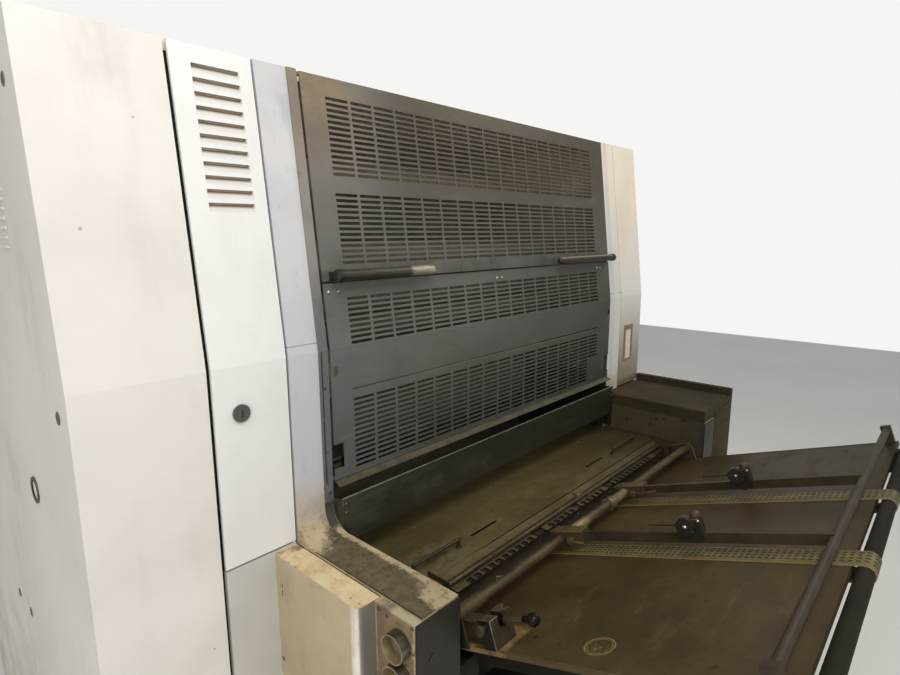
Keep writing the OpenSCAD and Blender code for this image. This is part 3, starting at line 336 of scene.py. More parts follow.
def guardPaint(name):
    f = Finish(name)
    cloud = f.noise(3.2, 6, 0.6)
    colour = f.mix(cloud.step(0.35, 0.68), tone(94, 94, 92), tone(104, 102, 97))
    # painted light and shade: a warm painted shade on the upper middle, a painted pool of light at the upper left,
    # painted shade to the right and downward
    warmShade = f.z.step(1.58, 2.06) * f.x.step(-0.62, -0.30)
    colour = f.mix(warmShade * 0.95, colour, tone(70, 60, 42))
    lit = f.z.step(1.50, 2.05, 0.25, 1.0) * f.x.step(-0.42, -0.70) * f.z.step(1.42, 1.50)
    colour = f.mix(lit * 0.9, colour, f.mix(f.z.step(1.80, 2.05), tone(118, 114, 110), tone(142, 125, 100)))
    shade = f.x.step(-0.40, 0.60) * f.z.step(1.95, 1.35, 0.4, 1.0)
    colour = f.mix(shade * 0.68, colour, tone(56, 55, 41))
    low = f.z.step(1.45, 1.15)
    colour = f.mix(low * 0.62, colour, tone(52, 55, 49))
    # the lower guard's left part lighter: painted light; its lower right darker: painted shade
    colour = f.mix(f.z.step(1.50, 1.44) * f.x.step(-0.35, -0.65) * 0.5, colour, tone(104, 107, 108))
    colour = f.mix(f.x.step(0.35, 0.68) * f.z.step(1.65, 1.35) * 0.5, colour, tone(40, 40, 29))
    cloudy = f.noise(7, 9, 0.72, (0.6, 1, 1), (5, 0, 1)).step(0.46, 0.66)
    colour = f.mix(cloudy * 0.35, colour, tone(78, 75, 66))
    dust = f.noise(16, 8, 0.7, (0.5, 1, 1.6), (1, 0, 3)).step(0.52, 0.80)
    colour = f.mix(dust * 0.4, colour, tone(132, 125, 106))
    scuff = f.noise(42, 5, 0.6, (0.25, 1, 1)).step(0.66, 0.78)
    colour = f.mix(scuff * 0.35, colour, tone(58, 56, 52))
    hand = f.z.step(1.585, 1.615) * f.z.step(1.68, 1.63) * f.noise(9, 6, 0.65).step(0.42, 0.62)
    colour = f.mix(hand * 0.55, colour, tone(60, 56, 48))
    # upward faces lighter, most at the left: painted highlight
    ledgeHighlight = f.turned("Z").step(0.4, 0.8) * f.z.step(1.2, 1.5)
    colour = f.mix(ledgeHighlight * f.x.step(-0.5, -0.3, 0.2, 1.0) * f.z.step(2.0, 1.9), colour, tone(196, 184, 156))
    flange = f.z.step(1.1225, 1.1205)
    colour = f.mix(flange, colour, f.mix(f.noise(30, 6, 0.7).step(0.35, 0.7), tone(88, 81, 64),
                                         tone(64, 60, 48)))
    colour = f.mix(f.specks(55, 0.12, 0.07) * 0.7, colour, tone(150, 142, 122))
    return f.close(colour, 0.42 + 0.25 * dust, height=f.noise(260, 3), depth=0.00012, shine=0.4)


def channelPaint(name):
    f = Finish(name)
    cloud = f.noise(8, 7, 0.65)
    # lighter and warmer upward and darker on the right: painted light and shade
    colour = f.mix(f.z.step(1.45, 1.70), tone(102, 103, 104), tone(138, 134, 132))
    colour = f.mix(f.z.step(1.75, 2.05), colour, tone(140, 128, 111))
    colour = f.mix(cloud.step(0.45, 0.72) * 0.35, colour, tone(86, 84, 80))
    colour = f.mix(f.noise(34, 7, 0.7, (1, 1, 0.3)).step(0.56, 0.68) * 0.4, colour, tone(72, 68, 62))
    colour = f.mix(f.x.step(-0.1, 0.1) * 0.7, colour, tone(70, 66, 54))
    return f.close(colour, 0.40 + 0.2 * cloud, height=f.noise(240, 3), depth=0.00012)


def oilyPlate(name, lean1, lean2, smear, stretch, dark, rough=0.42, metallic=0.25, rightShade=None):
    f = Finish(name)
    pool = f.noise(3.4, 7, 0.62, stretch)
    colour = f.mix(pool.step(0.34, 0.66), lean1, lean2)
    wipe = f.noise(13, 7, 0.68, stretch, (2, 5, 0)).step(0.50, 0.74)
    colour = f.mix(wipe * 0.65, colour, smear)
    spot = f.noise(22, 6, 0.7, (1, 1, 1), (7, 2, 0)).step(0.60, 0.72)
    colour = f.mix(spot * 0.6, colour, dark)
    grit = f.specks(150, 0.22, 0.10)
    colour = f.mix(grit * 0.5, colour, smear)
    # darker towards the right: painted shade
    if rightShade:
        colour = f.mix(f.x.step(-0.3, 0.6) * 0.75, colour, rightShade)
    return f.close(colour, rough + 0.28 * wipe - 0.12 * spot, metallic, f.noise(180, 5, 0.6) + 0.4 * wipe,
                   0.00015, shine=0.25)


def tablePlate(name):
    f = Finish(name)
    pool = f.noise(3.4, 8, 0.64, (0.5, 1.4, 1))
    colour = f.mix(pool.step(0.34, 0.66), tone(104, 95, 60), tone(84, 76, 47))
    wear = f.noise(9, 9, 0.7, (0.6, 1.3, 1), (2, 5, 0)).step(0.46, 0.70) * (f.y.step(-0.05, -0.17) | 0.4)
    colour = f.mix(wear * 0.7, colour, tone(116, 108, 78))
    scrub = f.x.step(-0.30, -0.55) * f.y.near(-0.165, 0.04, 0.03) * f.noise(24, 8, 0.72).step(0.40, 0.60)
    colour = f.mix(scrub * 0.7, colour, tone(130, 123, 96))
    spot = f.noise(30, 7, 0.72, (1, 1, 1), (7, 2, 0)).step(0.58, 0.70)
    colour = f.mix(spot * 0.55, colour, tone(42, 38, 25))
    slots = f.y.near(-0.165, 0.004, 0.001) * (f.x.near(-0.3215, 0.0565, 0.002) | f.x.near(0.323, 0.060, 0.002))
    colour = f.mix(slots, colour, tone(22, 19, 12))
    groove = f.y.near(-0.228, 0.0022, 0.0008) * f.x.step(-0.46, -0.34, 0.25, 1.0)
    # a light line along the groove's edge: painted highlight
    colour = f.mix(f.y.near(-0.2315, 0.0014, 0.001) * 0.7, colour, tone(134, 122, 86))
    colour = f.mix(groove, colour, tone(26, 22, 14))
    band = f.y.step(-0.2295, -0.2305)
    tan = f.mix(f.noise(20, 7, 0.7, (0.4, 1, 1)).step(0.36, 0.66), tone(116, 104, 74), tone(90, 80, 56))
    colour = f.mix(band * 0.85, colour, tan)
    colour = f.mix(f.noise(45, 10, 0.76).step(0.54, 0.66) * 0.45, colour, tone(52, 46, 29))
    # darker towards the right: painted shade
    colour = f.mix(f.x.step(0.10, 0.60) * 0.5, colour, tone(54, 47, 29))
    return f.close(colour, 0.36 + 0.25 * wear + 0.2 * band, 0.25,
                   f.noise(180, 5, 0.6) + 0.4 * wear - 3 * (groove | slots), 0.00015, shine=0.3)


def boardSkin(name):
    f = Finish(name)
    s, c = math.sin(board["slope"]), math.cos(board["slope"])
    up = (f.z - board["edgeZ"]) * s - (f.y - board["edgeY"]) * c
    pool = f.noise(3.0, 8, 0.64)
    colour = f.mix(pool.step(0.34, 0.66), tone(84, 71, 42), tone(64, 54, 31))
    wipe = f.noise(10, 8, 0.68, (0.5, 1.5, 1), (2, 5, 0)).step(0.50, 0.72)
    colour = f.mix(wipe * 0.5, colour, tone(98, 80, 54))
    arc = f.node("TexWave", {"wave_type": "RINGS"},
                 {"Vector": f.place, "Scale": 3.2, "Distortion": 7.0, "Detail": 2.0}, "Fac")
    colour = f.mix(arc.step(0.86, 1.0) * wipe * 0.5, colour, tone(112, 96, 70))
    spot = f.noise(26, 7, 0.72, (1, 1, 1), (7, 2, 0)).step(0.60, 0.70)
    colour = f.mix(spot * 0.5, colour, tone(46, 38, 24))
    away = f.node("VectorMath", {"operation": "DISTANCE"}, {0: f.place, 1: onBoard(-0.615, 0.385, 0)}, "Value")
    ring = (away.near(0.0292, 0.0007, 0.0011) | (away.near(0.0245, 0.0004, 0.0010) * 0.7)) * f.noise(70, 4).step(0.30, 0.46)
    ring = ring | (away.step(0.024, 0.014) * f.noise(95, 7, 0.75).step(0.52, 0.62) * 0.5)
    colour = f.mix(ring * 0.85, colour, tone(158, 136, 96))
    ragged = 0.03 * f.noise(16, 8, 0.7)
    foot = (up + ragged).near(0.195, 0.022, 0.012) * (f.x + ragged).near(-0.640, 0.050, 0.020)
    edge = (f.x + ragged).step(-0.655, -0.668) * up.near(0.14, 0.06, 0.02)
    colour = f.mix((foot | edge) * 0.75, colour,
                   f.mix(f.noise(22, 9, 0.74).step(0.36, 0.62), tone(166, 138, 96), tone(112, 92, 60)))
    # darker towards the right, most near the unit: painted shade
    colour = f.mix(f.x.step(0.0, 0.6) * f.z.step(1.06, 0.98, 1.0, 0.55) * 0.6, colour, tone(44, 36, 19))
    colour = f.mix(f.x.step(-0.40, 0.0) * up.step(0.15, 0.35) * 0.35, colour, tone(46, 38, 21))
    colour = f.mix(f.noise(55, 9, 0.74).step(0.52, 0.68) * 0.35, colour, tone(46, 37, 22))
    shadow = abs(abs(f.x) - 0.2255).step(0.0035, 0.0010) * up.step(0.02, 0.06)
    colour = f.mix(shadow * 0.5, colour, tone(40, 33, 20))
    return f.close(colour, 0.46 + 0.26 * wipe - 0.1 * spot, 0.12, f.noise(180, 5, 0.6) + 0.4 * wipe, 0.00015,
                   shine=0.3)


def stainedSteel(name, base, stain, bright, stretch=(1, 1, 1), metallic=0.55, rough=0.36, glow=None):
    f = Finish(name)
    cover = f.noise(16, 8, 0.7, stretch)
    colour = f.mix(cover.step(0.36, 0.64), base, stain)
    rub = f.noise(38, 6, 0.7, stretch, (4, 0, 1)).step(0.60, 0.76)
    colour = f.mix(rub * 0.7, colour, bright)
    drip = f.noise(60, 4, 0.6, (1, 1, 1), (9, 3, 2)).step(0.66, 0.74)
    colour = f.mix(drip * 0.6, colour, tone(40, 34, 24))
    return f.close(colour, rough + 0.3 * cover.step(0.4, 0.7), metallic, cover + 0.3 * rub, 0.0002, glow=glow)


def combSteel(name):
    f = Finish(name)
    cover = f.noise(24, 9, 0.74, (0.5, 1, 1))
    colour = f.mix(cover.step(0.36, 0.64), tone(104, 94, 64), tone(74, 66, 44))
    colour = f.mix(f.noise(60, 7, 0.72).step(0.58, 0.70) * 0.7, colour, tone(48, 41, 26))
    out = abs(f.x)
    pitch, slot = 0.029, 0.0
    for start, end in ((0.242, 0.538), (0.019, 0.170)):  # outer and inner plates, from the middle outward
        tooth = (((out - start - 0.0025) % pitch) - pitch / 2).near(0.0, 0.0100, 0.0015)
        row = tooth * out.step(start, start + 0.004) * out.step(end, end - 0.004)
        slot = row | slot
    slot = slot * f.y.near(-0.2835, 0.0085, 0.001)
    # the slots and the faces not facing up painted dark: painted shade; the right part darker: painted shade
    colour = f.mix(slot | f.turned("Z").step(0.6, 0.4), colour, tone(30, 26, 15))
    colour = f.mix(f.x.step(0.18, 0.32) * 0.6, colour, tone(48, 44, 28))
    return f.close(colour, 0.42 + 0.25 * cover, 0.3, cover, 0.0002)


def shaftSteel(name):
    f = Finish(name)
    cover = f.noise(16, 10, 0.76, (0.4, 1, 1))
    colour = f.mix(cover.step(0.36, 0.64), tone(84, 72, 46), tone(42, 36, 21))
    colour = f.mix(f.noise(8, 6, 0.7, (0.6, 1, 1), (1, 4, 2)).step(0.52, 0.66) * f.x.step(-0.30, -0.45) * 0.6,
                   colour, tone(122, 112, 96))
    collar = f.x.near(0.066, 0.013, 0.001) * 0.8
    rub = f.x.near(-0.13, 0.04, 0.02) | f.x.near(0.13, 0.035, 0.02) | collar | 0.12
    colour = f.mix(rub * f.noise(20, 7, 0.7, (0.3, 1, 1)).step(0.35, 0.6), colour, tone(150, 130, 94))
    drip = f.noise(60, 4, 0.6, (1, 1, 1), (9, 3, 2)).step(0.62, 0.72)
    colour = f.mix(drip * 0.6, colour, tone(34, 29, 19))
    return f.close(colour, 0.4 + 0.3 * cover, 0.4, cover, 0.0002)


def plainPaint(name, base, second, rough=0.5, metallic=0.0, scale=8.0, depth=0.00015, shadedBelow=None,
               shine=0.5, glow=None):
    f = Finish(name)
    cloud = f.noise(scale, 7, 0.65)
    colour = f.mix(cloud.step(0.34, 0.68), base, second)
    colour = f.mix(f.noise(scale * 4, 6, 0.7).step(0.6, 0.72) * 0.5, colour,
                   tuple(c * 0.55 for c in base[:3]) + (1.0,))
    if shadedBelow:
        # darker below this height: painted shade inside the housing
        colour = f.mix(f.z.step(shadedBelow, shadedBelow - 0.2) * 0.92, colour, tone(92, 90, 78))
    return f.close(colour, rough + 0.2 * cloud, metallic, f.noise(scale * 30, 3), depth, shine=shine, glow=glow)


def handleSteel(name):
    f = Finish(name)
    cover = f.noise(18, 8, 0.7, (0.4, 1, 1))
    colour = f.mix(cover.step(0.36, 0.64), tone(76, 71, 60), tone(54, 51, 42))
    colour = f.mix(f.x.step(-0.670, -0.676), colour, tone(40, 42, 32))
    # a light patch near the inner end of the left handle: painted highlight
    colour = f.mix(f.x.step(-0.466, -0.446) * f.x.step(-0.30, -0.36) * (cover.step(0.3, 0.5) | 0.7), colour,
                   tone(172, 162, 142))
    lit = f.x.step(0.1, 0.2) * f.turned("Z").step(0.55, 0.85)
    colour = f.mix(f.x.step(0.1, 0.2) * 0.7, colour, tone(44, 38, 28))
    colour = f.mix(lit * 0.7, colour, tone(164, 146, 112))
    return f.close(colour, 0.32 + 0.25 * cover, 0.4, cover, 0.0002)


def perforatedTape(name):
    f = Finish(name)
    s, c = math.sin(board["slope"]), math.cos(board["slope"])
    up = f.z * s - f.y * c
    sign = f.node("Math", {"operation": "SIGN"}, {0: f.x})
    side = f.x - 0.190 * sign
    row = abs((up % 0.014) - 0.007)
    lanes = side.near(0.025, 0.0024, 0.0010)
    for middle in (0.013, -0.001, -0.015):
        lanes = lanes | side.near(middle, 0.0024, 0.0010)
    hole = row.step(0.0045, 0.0036) * lanes
    wear = f.noise(20, 7, 0.7)
    colour = f.mix(wear.step(0.35, 0.7), tone(118, 107, 64), tone(92, 83, 47))
    colour = f.mix(f.noise(6, 4).step(0.5, 0.7) * 0.4, colour, tone(70, 60, 38))
    colour = f.mix(side.step(-0.0315, -0.0325) * 0.7, colour, tone(150, 122, 78))
    weave = f.node("TexWave", {"bands_direction": "X"}, {"Vector": f.place, "Scale": 420.0}, "Fac")
    colour = f.mix(hole, colour, tone(24, 21, 11))
    return f.close(colour, 0.62, 0.0, weave * 0.25 - 2.0 * hole, 0.0004)


def floorPaint(name):
    f = Finish(name)
    colour = f.mix(f.noise(0.8, 3, 0.5).step(0.3, 0.7), tone(240, 239, 236), tone(235, 234, 231))
    return f.close(colour, 0.75 + 0.05 * f.noise(1.5, 2))


finishes = {
    "doorWhite": whitePaint("door white", tone(240, 240, 239), tone(229, 229, 228), tone(172, 167, 157), 1.3,
                            0.16, True),
    "coverWhite": whitePaint("cover white", tone(234, 231, 227), tone(221, 218, 212), tone(162, 156, 144),
                             1.1, 0.26),
    "kickWhite": whitePaint("kick panel white", tone(204, 203, 198), tone(190, 189, 184), tone(146, 140, 128),
                            0.9, 0.30),
    "rightCover": rightCoverPaint("right cover white"),
    "frame": framePaint("frame paint"),
    "armCream": sideCoverPaint("arm cream"),
    "guard": guardPaint("guard grey"),
    "channel": channelPaint("channel grey"),
    "hatch": plainPaint("hatch grey", tone(96, 94, 91), tone(84, 82, 79), 0.48),
    "frontPlate": oilyPlate("front plate", tone(56, 54, 46), tone(42, 41, 33), tone(78, 75, 60), (0.4, 1, 1),
                            tone(26, 24, 19), 0.55, 0.1, tone(35, 35, 22)),
    "endPlate": oilyPlate("end plate", tone(50, 50, 45), tone(43, 42, 37), tone(72, 69, 61), (1, 1, 0.5),
                          tone(32, 30, 25), 0.42),
    "driveBox": oilyPlate("drive box", tone(64, 56, 34), tone(48, 42, 25), tone(86, 75, 50), (1, 1, 1),
                          tone(30, 26, 15), 0.75, 0.0),
    "bed": plainPaint("bed casting", tone(36, 33, 22), tone(27, 25, 16), 0.68, shine=0.2),
    "fountain": plainPaint("fountain paint", tone(144, 136, 114), tone(112, 106, 89), 0.6, 0.0, 12, glow=0.07),
    "portPlate": portPaint("port plate"),
    "stub": stubSteel("stub metal"),
    "leverCast": leverCast("lever bracket cast"),
    "infeed": tablePlate("infeed plate"),
    "board": boardSkin("board skin"),
    "shaft": shaftSteel("shaft steel"),
    "lip": stainedSteel("lip rod steel", tone(86, 76, 50), tone(58, 50, 32), tone(168, 148, 106),
                        (0.35, 1, 1), 0.4),
    "comb": combSteel("comb steel"),
    # pale fill for the louvre slits: painted light
    "louvreSlitLight": plainPaint("louvre slit light", tone(204, 194, 178), tone(176, 166, 150), 0.7),
    "edge": plainPaint("worn edge", tone(132, 130, 116), tone(98, 96, 84), 0.45, 0.2, 20),
    "screw": stainedSteel("screw steel", tone(96, 88, 66), tone(70, 63, 46), tone(146, 134, 104), (0.7, 1, 1),
                          0.4),
    "beam": plainPaint("beam brown", tone(64, 53, 31), tone(46, 38, 22), 0.5, 0.1, shine=0.25),
    "black": plainPaint("black steel", tone(34, 33, 30), tone(50, 47, 40), 0.34, 0.2, 22),
    "bar": plainPaint("bar steel", tone(54, 47, 31), tone(70, 61, 42), 0.42, 0.2, 18, shine=0.3),
    "clamp": stainedSteel("clamp steel", tone(112, 94, 62), tone(84, 70, 46), tone(190, 168, 124), (1, 1, 1),
                          0.25, 0.45),
    "clampBody": stainedSteel("clamp body steel", tone(82, 70, 45), tone(58, 49, 31), tone(122, 106, 74),
                              (1, 1, 1), 0.25, 0.5),
    "handle": handleSteel("handle steel"),
    "lock": plainPaint("lock plastic", tone(92, 92, 91), tone(76, 76, 76), 0.4, 0.0, 60, 0.00008),
    "ball": plainPaint("ball black", tone(17, 13, 8), tone(26, 21, 14), 0.12, 0.0, 30, 0.00002, shine=0.18),
    "cylinder": stainedSteel("cylinder steel", tone(224, 214, 186), tone(188, 176, 146), tone(232, 224, 200),
                             (0.2, 1, 1), 0.1, 0.5, 0.04),
    "lowCylinder": stainedSteel("lower cylinder steel", tone(96, 92, 78), tone(76, 72, 60),
                                tone(112, 106, 90), (0.2, 1, 1), 0.5, 0.45),
    "rubber": plainPaint("roller rubber", tone(196, 184, 156), tone(164, 152, 126), 0.55, 0.0, 14,
                         shadedBelow=1.80, glow=0.05),
    "liner": plainPaint("liner brown", tone(214, 200, 166), tone(186, 170, 136), 0.7, shadedBelow=1.56, glow=0.05),
    "bright": stainedSteel("bright steel", tone(196, 190, 178), tone(158, 150, 134), tone(232, 228, 220),
                           (1, 1, 1), 0.9, 0.2),
    "knob": plainPaint("knob red brown", tone(86, 60, 50), tone(62, 42, 36), 0.38, 0.0, 40),
    "tape": perforatedTape("perforated tape"),
    "floor": floorPaint("floor"),
}

wearOf = {
    "left_door": "doorWhite", "left_outer_cover": "coverWhite", "left_kick_panel": "kickWhite",
    "left_side_panels": "coverWhite", "rear_covers": "coverWhite", "roof_covers": "coverWhite",
    "left_housing_core": "bed", "right_housing_core": "bed", "right_side_panels": "coverWhite",
    "right_front_cover": "rightCover", "left_side_frame": "frame", "right_side_frame": "frame",
    "left_arm_cover": "armCream", "upper_guard": "guard", "lower_guard": "guard", "rear_guards": "guard",
    "guard_channel": "channel", "front_plate": "frontPlate", "aprons": "frontPlate", "arm_end_plates": "endPlate",
    "drive_box": "driveBox", "base_bed": "bed", "arm_brackets": "bed", "cross_beam": "beam", "board_rails": "bed",
    "lever_bracket": "leverCast", "air_port_plate": "portPlate", "air_stubs": "stub", "infeed_plate": "infeed",
    "feed_board": "board", "cross_shaft": "shaft", "lip_tube": "lip", "comb_plates": "comb", "guard_handles": "handle",
    "lifting_handles": "bar", "guide_bars": "bar", "bar_clamps": "clampBody", "wheel_carriages": "black",
    "suction_tapes": "tape", "board_rollers": "bed", "door_lock": "lock", "ball_lever": "ball",
    "plate_cylinder": "cylinder", "impression_cylinder": "lowCylinder", "blanket_cylinder": "rubber", "ink_rollers": "rubber",
    "ink_fountain": "fountain",
}
for name, solid in nodes.items():
    solid.data.materials.clear()
    solid.data.materials.append(finishes[wearOf[name]])
print("finishes on", len(wearOf), "solids")

# ---- piece helpers
pieceNames = []


def newPiece(name, bm, finish, body="unit", bevel=0.0):
    bmesh.ops.recalc_face_normals(bm, faces=bm.faces)
    if bevel:
        sharp = [e for e in bm.edges if len(e.link_faces) == 2 and e.calc_face_angle() > 0.8]
        bmesh.ops.bevel(bm, geom=sharp, offset=bevel, affect="EDGES", segments=2, profile=0.5, material=-1)
    for face in bm.faces:
        face.smooth = True
    mesh = bpy.data.meshes.new(name)
    bm.to_mesh(mesh)
    bm.free()
    mesh.set_sharp_from_angle(angle=math.radians(38))
    mesh.materials.append(finishes[finish])
    piece = bpy.data.objects.new(name, mesh)
    bpy.context.scene.collection.objects.link(piece)
    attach(piece, body)
    pieceNames.append(name)
    return piece


def addBlock(bm, low, high, turn=None):
    size = [b - a for a, b in zip(low, high)]
    middle = Vector([(a + b) / 2 for a, b in zip(low, high)])
    place = Matrix.Translation(middle) @ Matrix.Diagonal((*size, 1))
    bmesh.ops.create_cube(bm, size=1, matrix=(turn or Matrix.Identity(4)) @ place)


def addRod(bm, start, end, radius, tip=None, segments=16):
    start, end = Vector(start), Vector(end)
    along = end - start
    place = Matrix.Translation((start + end) / 2) @ along.to_track_quat("Z", "Y").to_matrix().to_4x4()
    bmesh.ops.create_cone(bm, cap_ends=True, segments=segments, radius1=radius,
                          radius2=radius if tip is None else tip, depth=along.length, matrix=place)


def addDome(bm, at, axis, radius, height, segments=14):
    place = Matrix.Translation(at) @ Vector(axis).to_track_quat("Z", "Y").to_matrix().to_4x4()
    bmesh.ops.create_uvsphere(bm, u_segments=segments, v_segments=8, radius=1,
                              matrix=place @ Matrix.Diagonal((radius, radius, height, 1)))


def addRing(bm, at, axis, inner, outer, thick, segments=40):
    place = Matrix.Translation(at) @ Vector(axis).to_track_quat("Z", "Y").to_matrix().to_4x4()
    hole = bmesh.new()
    corners = [hole.verts.new((x, 0, z)) for x, z in ((inner, 0), (outer, 0), (outer, thick), (inner, thick))]
    hole.faces.new(corners)
    bmesh.ops.spin(hole, geom=hole.verts[:] + hole.edges[:] + hole.faces[:], axis=(0, 0, 1), cent=(0, 0, 0),
                   angle=math.tau, steps=segments, use_merge=True)
    bmesh.ops.transform(hole, matrix=place, verts=hole.verts)
    keep = bpy.data.meshes.new("ring part")
    hole.to_mesh(keep)
    hole.free()
    bm.from_mesh(keep)
    bpy.data.meshes.remove(keep)


boardFrame = Matrix.Translation(onBoard(0, 0,
                                        0)) @ boardTurn  # local Y runs down the board, local Z is its normal


def addBoardBlock(bm, low, high):  # corners as (x, up the board, height)
    addBlock(bm, (low[0], -high[1], low[2]), (high[0], -low[1], high[2]), boardFrame)


outward = Vector((0, -1, 0))
boardUp = boardTurn @ Vector((0, 0, 1))
leanOut = Vector((0, -math.cos(unit["lean"]), math.sin(unit["lean"])))

# ---- guards: screws of the lower guard, clamps and rings of the handles
guardScrew = {"radius": 0.0058, "height": 0.0036, "sheet": 0.0060}
bm = bmesh.new()
for x, z in ((-0.695, 1.586), (-0.668, 1.586), (-0.048, 1.582), (-0.022, 1.582), (0.608, 1.586),
             (0.632, 1.586)):
    addDome(bm, (x, frontY(z) - guardScrew["sheet"], z), leanOut, guardScrew["radius"], guardScrew["height"])
newPiece("lower_guard_screws", bm, "bright", "lower_guard")

handleEnd = {"clampWidth": 0.016, "clampRadius": 0.0150, "axisY": -0.0180, "axisZ": 1.626}
bm = bmesh.new()
for x in (-0.684, 0.682):
    addRod(bm, (x - handleEnd["clampWidth"] / 2, handleEnd["axisY"], handleEnd["axisZ"]),
           (x + handleEnd["clampWidth"] / 2, handleEnd["axisY"],
            handleEnd["axisZ"]), handleEnd["clampRadius"], segments=28)
newPiece("guard_handle_clamps", bm, "black", "upper_guard", 0.002)
bm = bmesh.new()
for x in (-0.650, -0.420, 0.330, 0.650):
    addRing(bm, (x, handleEnd["axisY"], handleEnd["axisZ"]), (1, 0, 0), 0.0129, 0.0134, 0.0030, 32)
newPiece("guard_handle_rings", bm, "handle", "upper_guard")

# ---- channel strip: dark groove line and the small tab at its lower end
strip = {"x": (-0.741, -0.716), "face": -0.004, "lineX": -0.7345, "screwX": -0.7285}
bm = bmesh.new()
addBlock(bm, (strip["x"][0] + 0.002, -0.0065, 1.076), (strip["x"][0] + 0.021, -0.004, 1.112))
addBlock(bm, (strip["x"][0] + 0.002, -0.0078, 1.076), (strip["x"][0] + 0.0042, -0.0065, 1.112))
newPiece("channel_tab", bm, "channel", "unit", 0.0008)
bm = bmesh.new()
for low, high in ((1.120, 1.283), (1.286, 1.449)):
    addBlock(bm, (strip["lineX"] - 0.0011, -0.0048, low), (strip["lineX"] + 0.0011, -0.0038, high))
newPiece("channel_line", bm, "black", "unit")
bm = bmesh.new()
for y, z in ((-0.0065, 1.094), (strip["face"], 1.200), (strip["face"], 1.360)):
    addDome(bm, (strip["screwX"], y, z), outward, 0.0035, 0.002)
newPiece("channel_screws", bm, "screw")

# ---- front plate: row of screws and a bright worn top edge
bm = bmesh.new()
for x in (-0.702, 0.702):
    for z in (1.065, 1.041):
        addDome(bm, (x, -0.034, z), outward, 0.0050, 0.0030)
newPiece("front_plate_screws", bm, "screw")
bm = bmesh.new()
addBlock(bm, (-0.712, -0.0344, 1.0785), (0.712, -0.0300, 1.0808))
for low, high in ((-0.712, -0.7105), (0.7105, 0.712)):
    addBlock(bm, (low, -0.0344, 1.0600), (high, -0.0335, 1.0785))
newPiece("front_plate_edge", bm, "edge", bevel=0.0006)
bm = bmesh.new()
for low, high in ((-0.7140, -0.7120), (0.7120, 0.7140)):
    addBlock(bm, (low, -0.0335, 0.905), (high, 0.004, 1.076))
    addBlock(bm, (low, -0.0335, 1.0745), (high, -0.0200, 1.0775))
newPiece("front_plate_ends", bm, "frontPlate", "unit", 0.0006)

# ---- lower guard's cut-out: hinge block seen through it
bm = bmesh.new()
addBlock(bm, (-0.706, 0.004, 1.128), (-0.684, 0.016, 1.158))
addRod(bm, (-0.708, 0.010, 1.168), (-0.680, 0.010, 1.168), 0.0050, segments=16)
addBlock(bm, (-0.7130, 0.020, 1.126), (-0.668, 0.022, 1.196))
newPiece("guard_hinge_block", bm, "frontPlate", "lower_guard", 0.0006)

# ---- door: louvre backs, lock rings and slot
louvre = {"middle": -0.906, "half": 0.049, "top": 2.055, "pitch": 0.027, "count": 11, "deep": 0.0075}
# pale backs right behind the slits, so that the slits show lighter than their shade: painted light
bm = bmesh.new()
for i in range(louvre["count"]):
    z = louvre["top"] - i * louvre["pitch"]
    back = frontY(z) + louvre["deep"]
    left, right = louvre["middle"] - louvre["half"], louvre["middle"] + louvre["half"]
    addBlock(bm, (left, back, z - 0.0036), (right, back + 0.0008, z + 0.0005))
newPiece("door_louvre_backs", bm, "louvreSlitLight", "left_door")
lock = {"x": -0.940, "z": 1.349, "front": -0.0063}
bm = bmesh.new()
addRing(bm, (lock["x"], lock["front"], lock["z"]), outward, 0.0120, 0.0172, 0.0012)
addRing(bm, (lock["x"], lock["front"], lock["z"]), outward, 0.0030, 0.0062, 0.0010, 24)
newPiece("door_lock_rings", bm, "lock", "door_lock")
bm = bmesh.new()
addBlock(bm, (lock["x"] - 0.0016, lock["front"] - 0.0016, lock["z"] - 0.0085),
         (lock["x"] + 0.0016, lock["front"], lock["z"] + 0.0085))
newPiece("door_lock_slot", bm, "black", "door_lock", 0.0004)

# ---- left arm: port plate screws, stub flanges and the end plate's fixings
stub = {"y": -0.377, "z": (0.940, 0.871), "face": -0.838, "tip": -0.863}
bm = bmesh.new()
for z in stub["z"]:
    addRing(bm, (stub["face"], stub["y"], z), (-1, 0, 0), 0.0300, 0.0335 if z < 0.9 else 0.0390, 0.0025, 48)
newPiece("stub_flanges", bm, "portPlate", "unit", 0.0006)
bm = bmesh.new()
for z in stub["z"]:
    addRing(bm, (stub["tip"], stub["y"], z), (-1, 0, 0), 0.0286, 0.0298, 0.0006, 48)
newPiece("stub_rims", bm, "bright", "unit")
bm = bmesh.new()
for z in stub["z"]:
    addRod(bm, (stub["face"] - 0.0002, stub["y"], z), (stub["face"] - 0.0022, stub["y"], z), 0.0268,
           segments=40)
newPiece("stub_bottoms", bm, "portPlate", "unit")
bm = bmesh.new()
for y, z in ((-0.313, 0.984), (-0.337, 0.979), (-0.409, 0.987), (-0.409, 0.800), (-0.309, 0.800),
             (-0.409, 0.420), (-0.309, 0.420)):
    addDome(bm, (stub["face"], y, z), (-1, 0, 0), 0.0042, 0.0028)
newPiece("port_plate_screws", bm, "screw")
bm = bmesh.new()
for x in (-0.826, -0.727, 0.727, 0.808):
    for z in (0.640, 0.370, 0.100):
        addRod(bm, (x, -0.421, z), (x, -0.4245, z), 0.0060, segments=6)
newPiece("end_plate_bolts", bm, "screw", bevel=0.0005)
bm = bmesh.new()
addRing(bm, (-0.796, -0.4211, 0.906), outward, 0.0045, 0.0085, 0.0012, 24)
addRod(bm, (-0.796, -0.4205, 0.906), (-0.796, -0.4214, 0.906), 0.0046, segments=20)
newPiece("end_plate_hole", bm, "black", "unit")

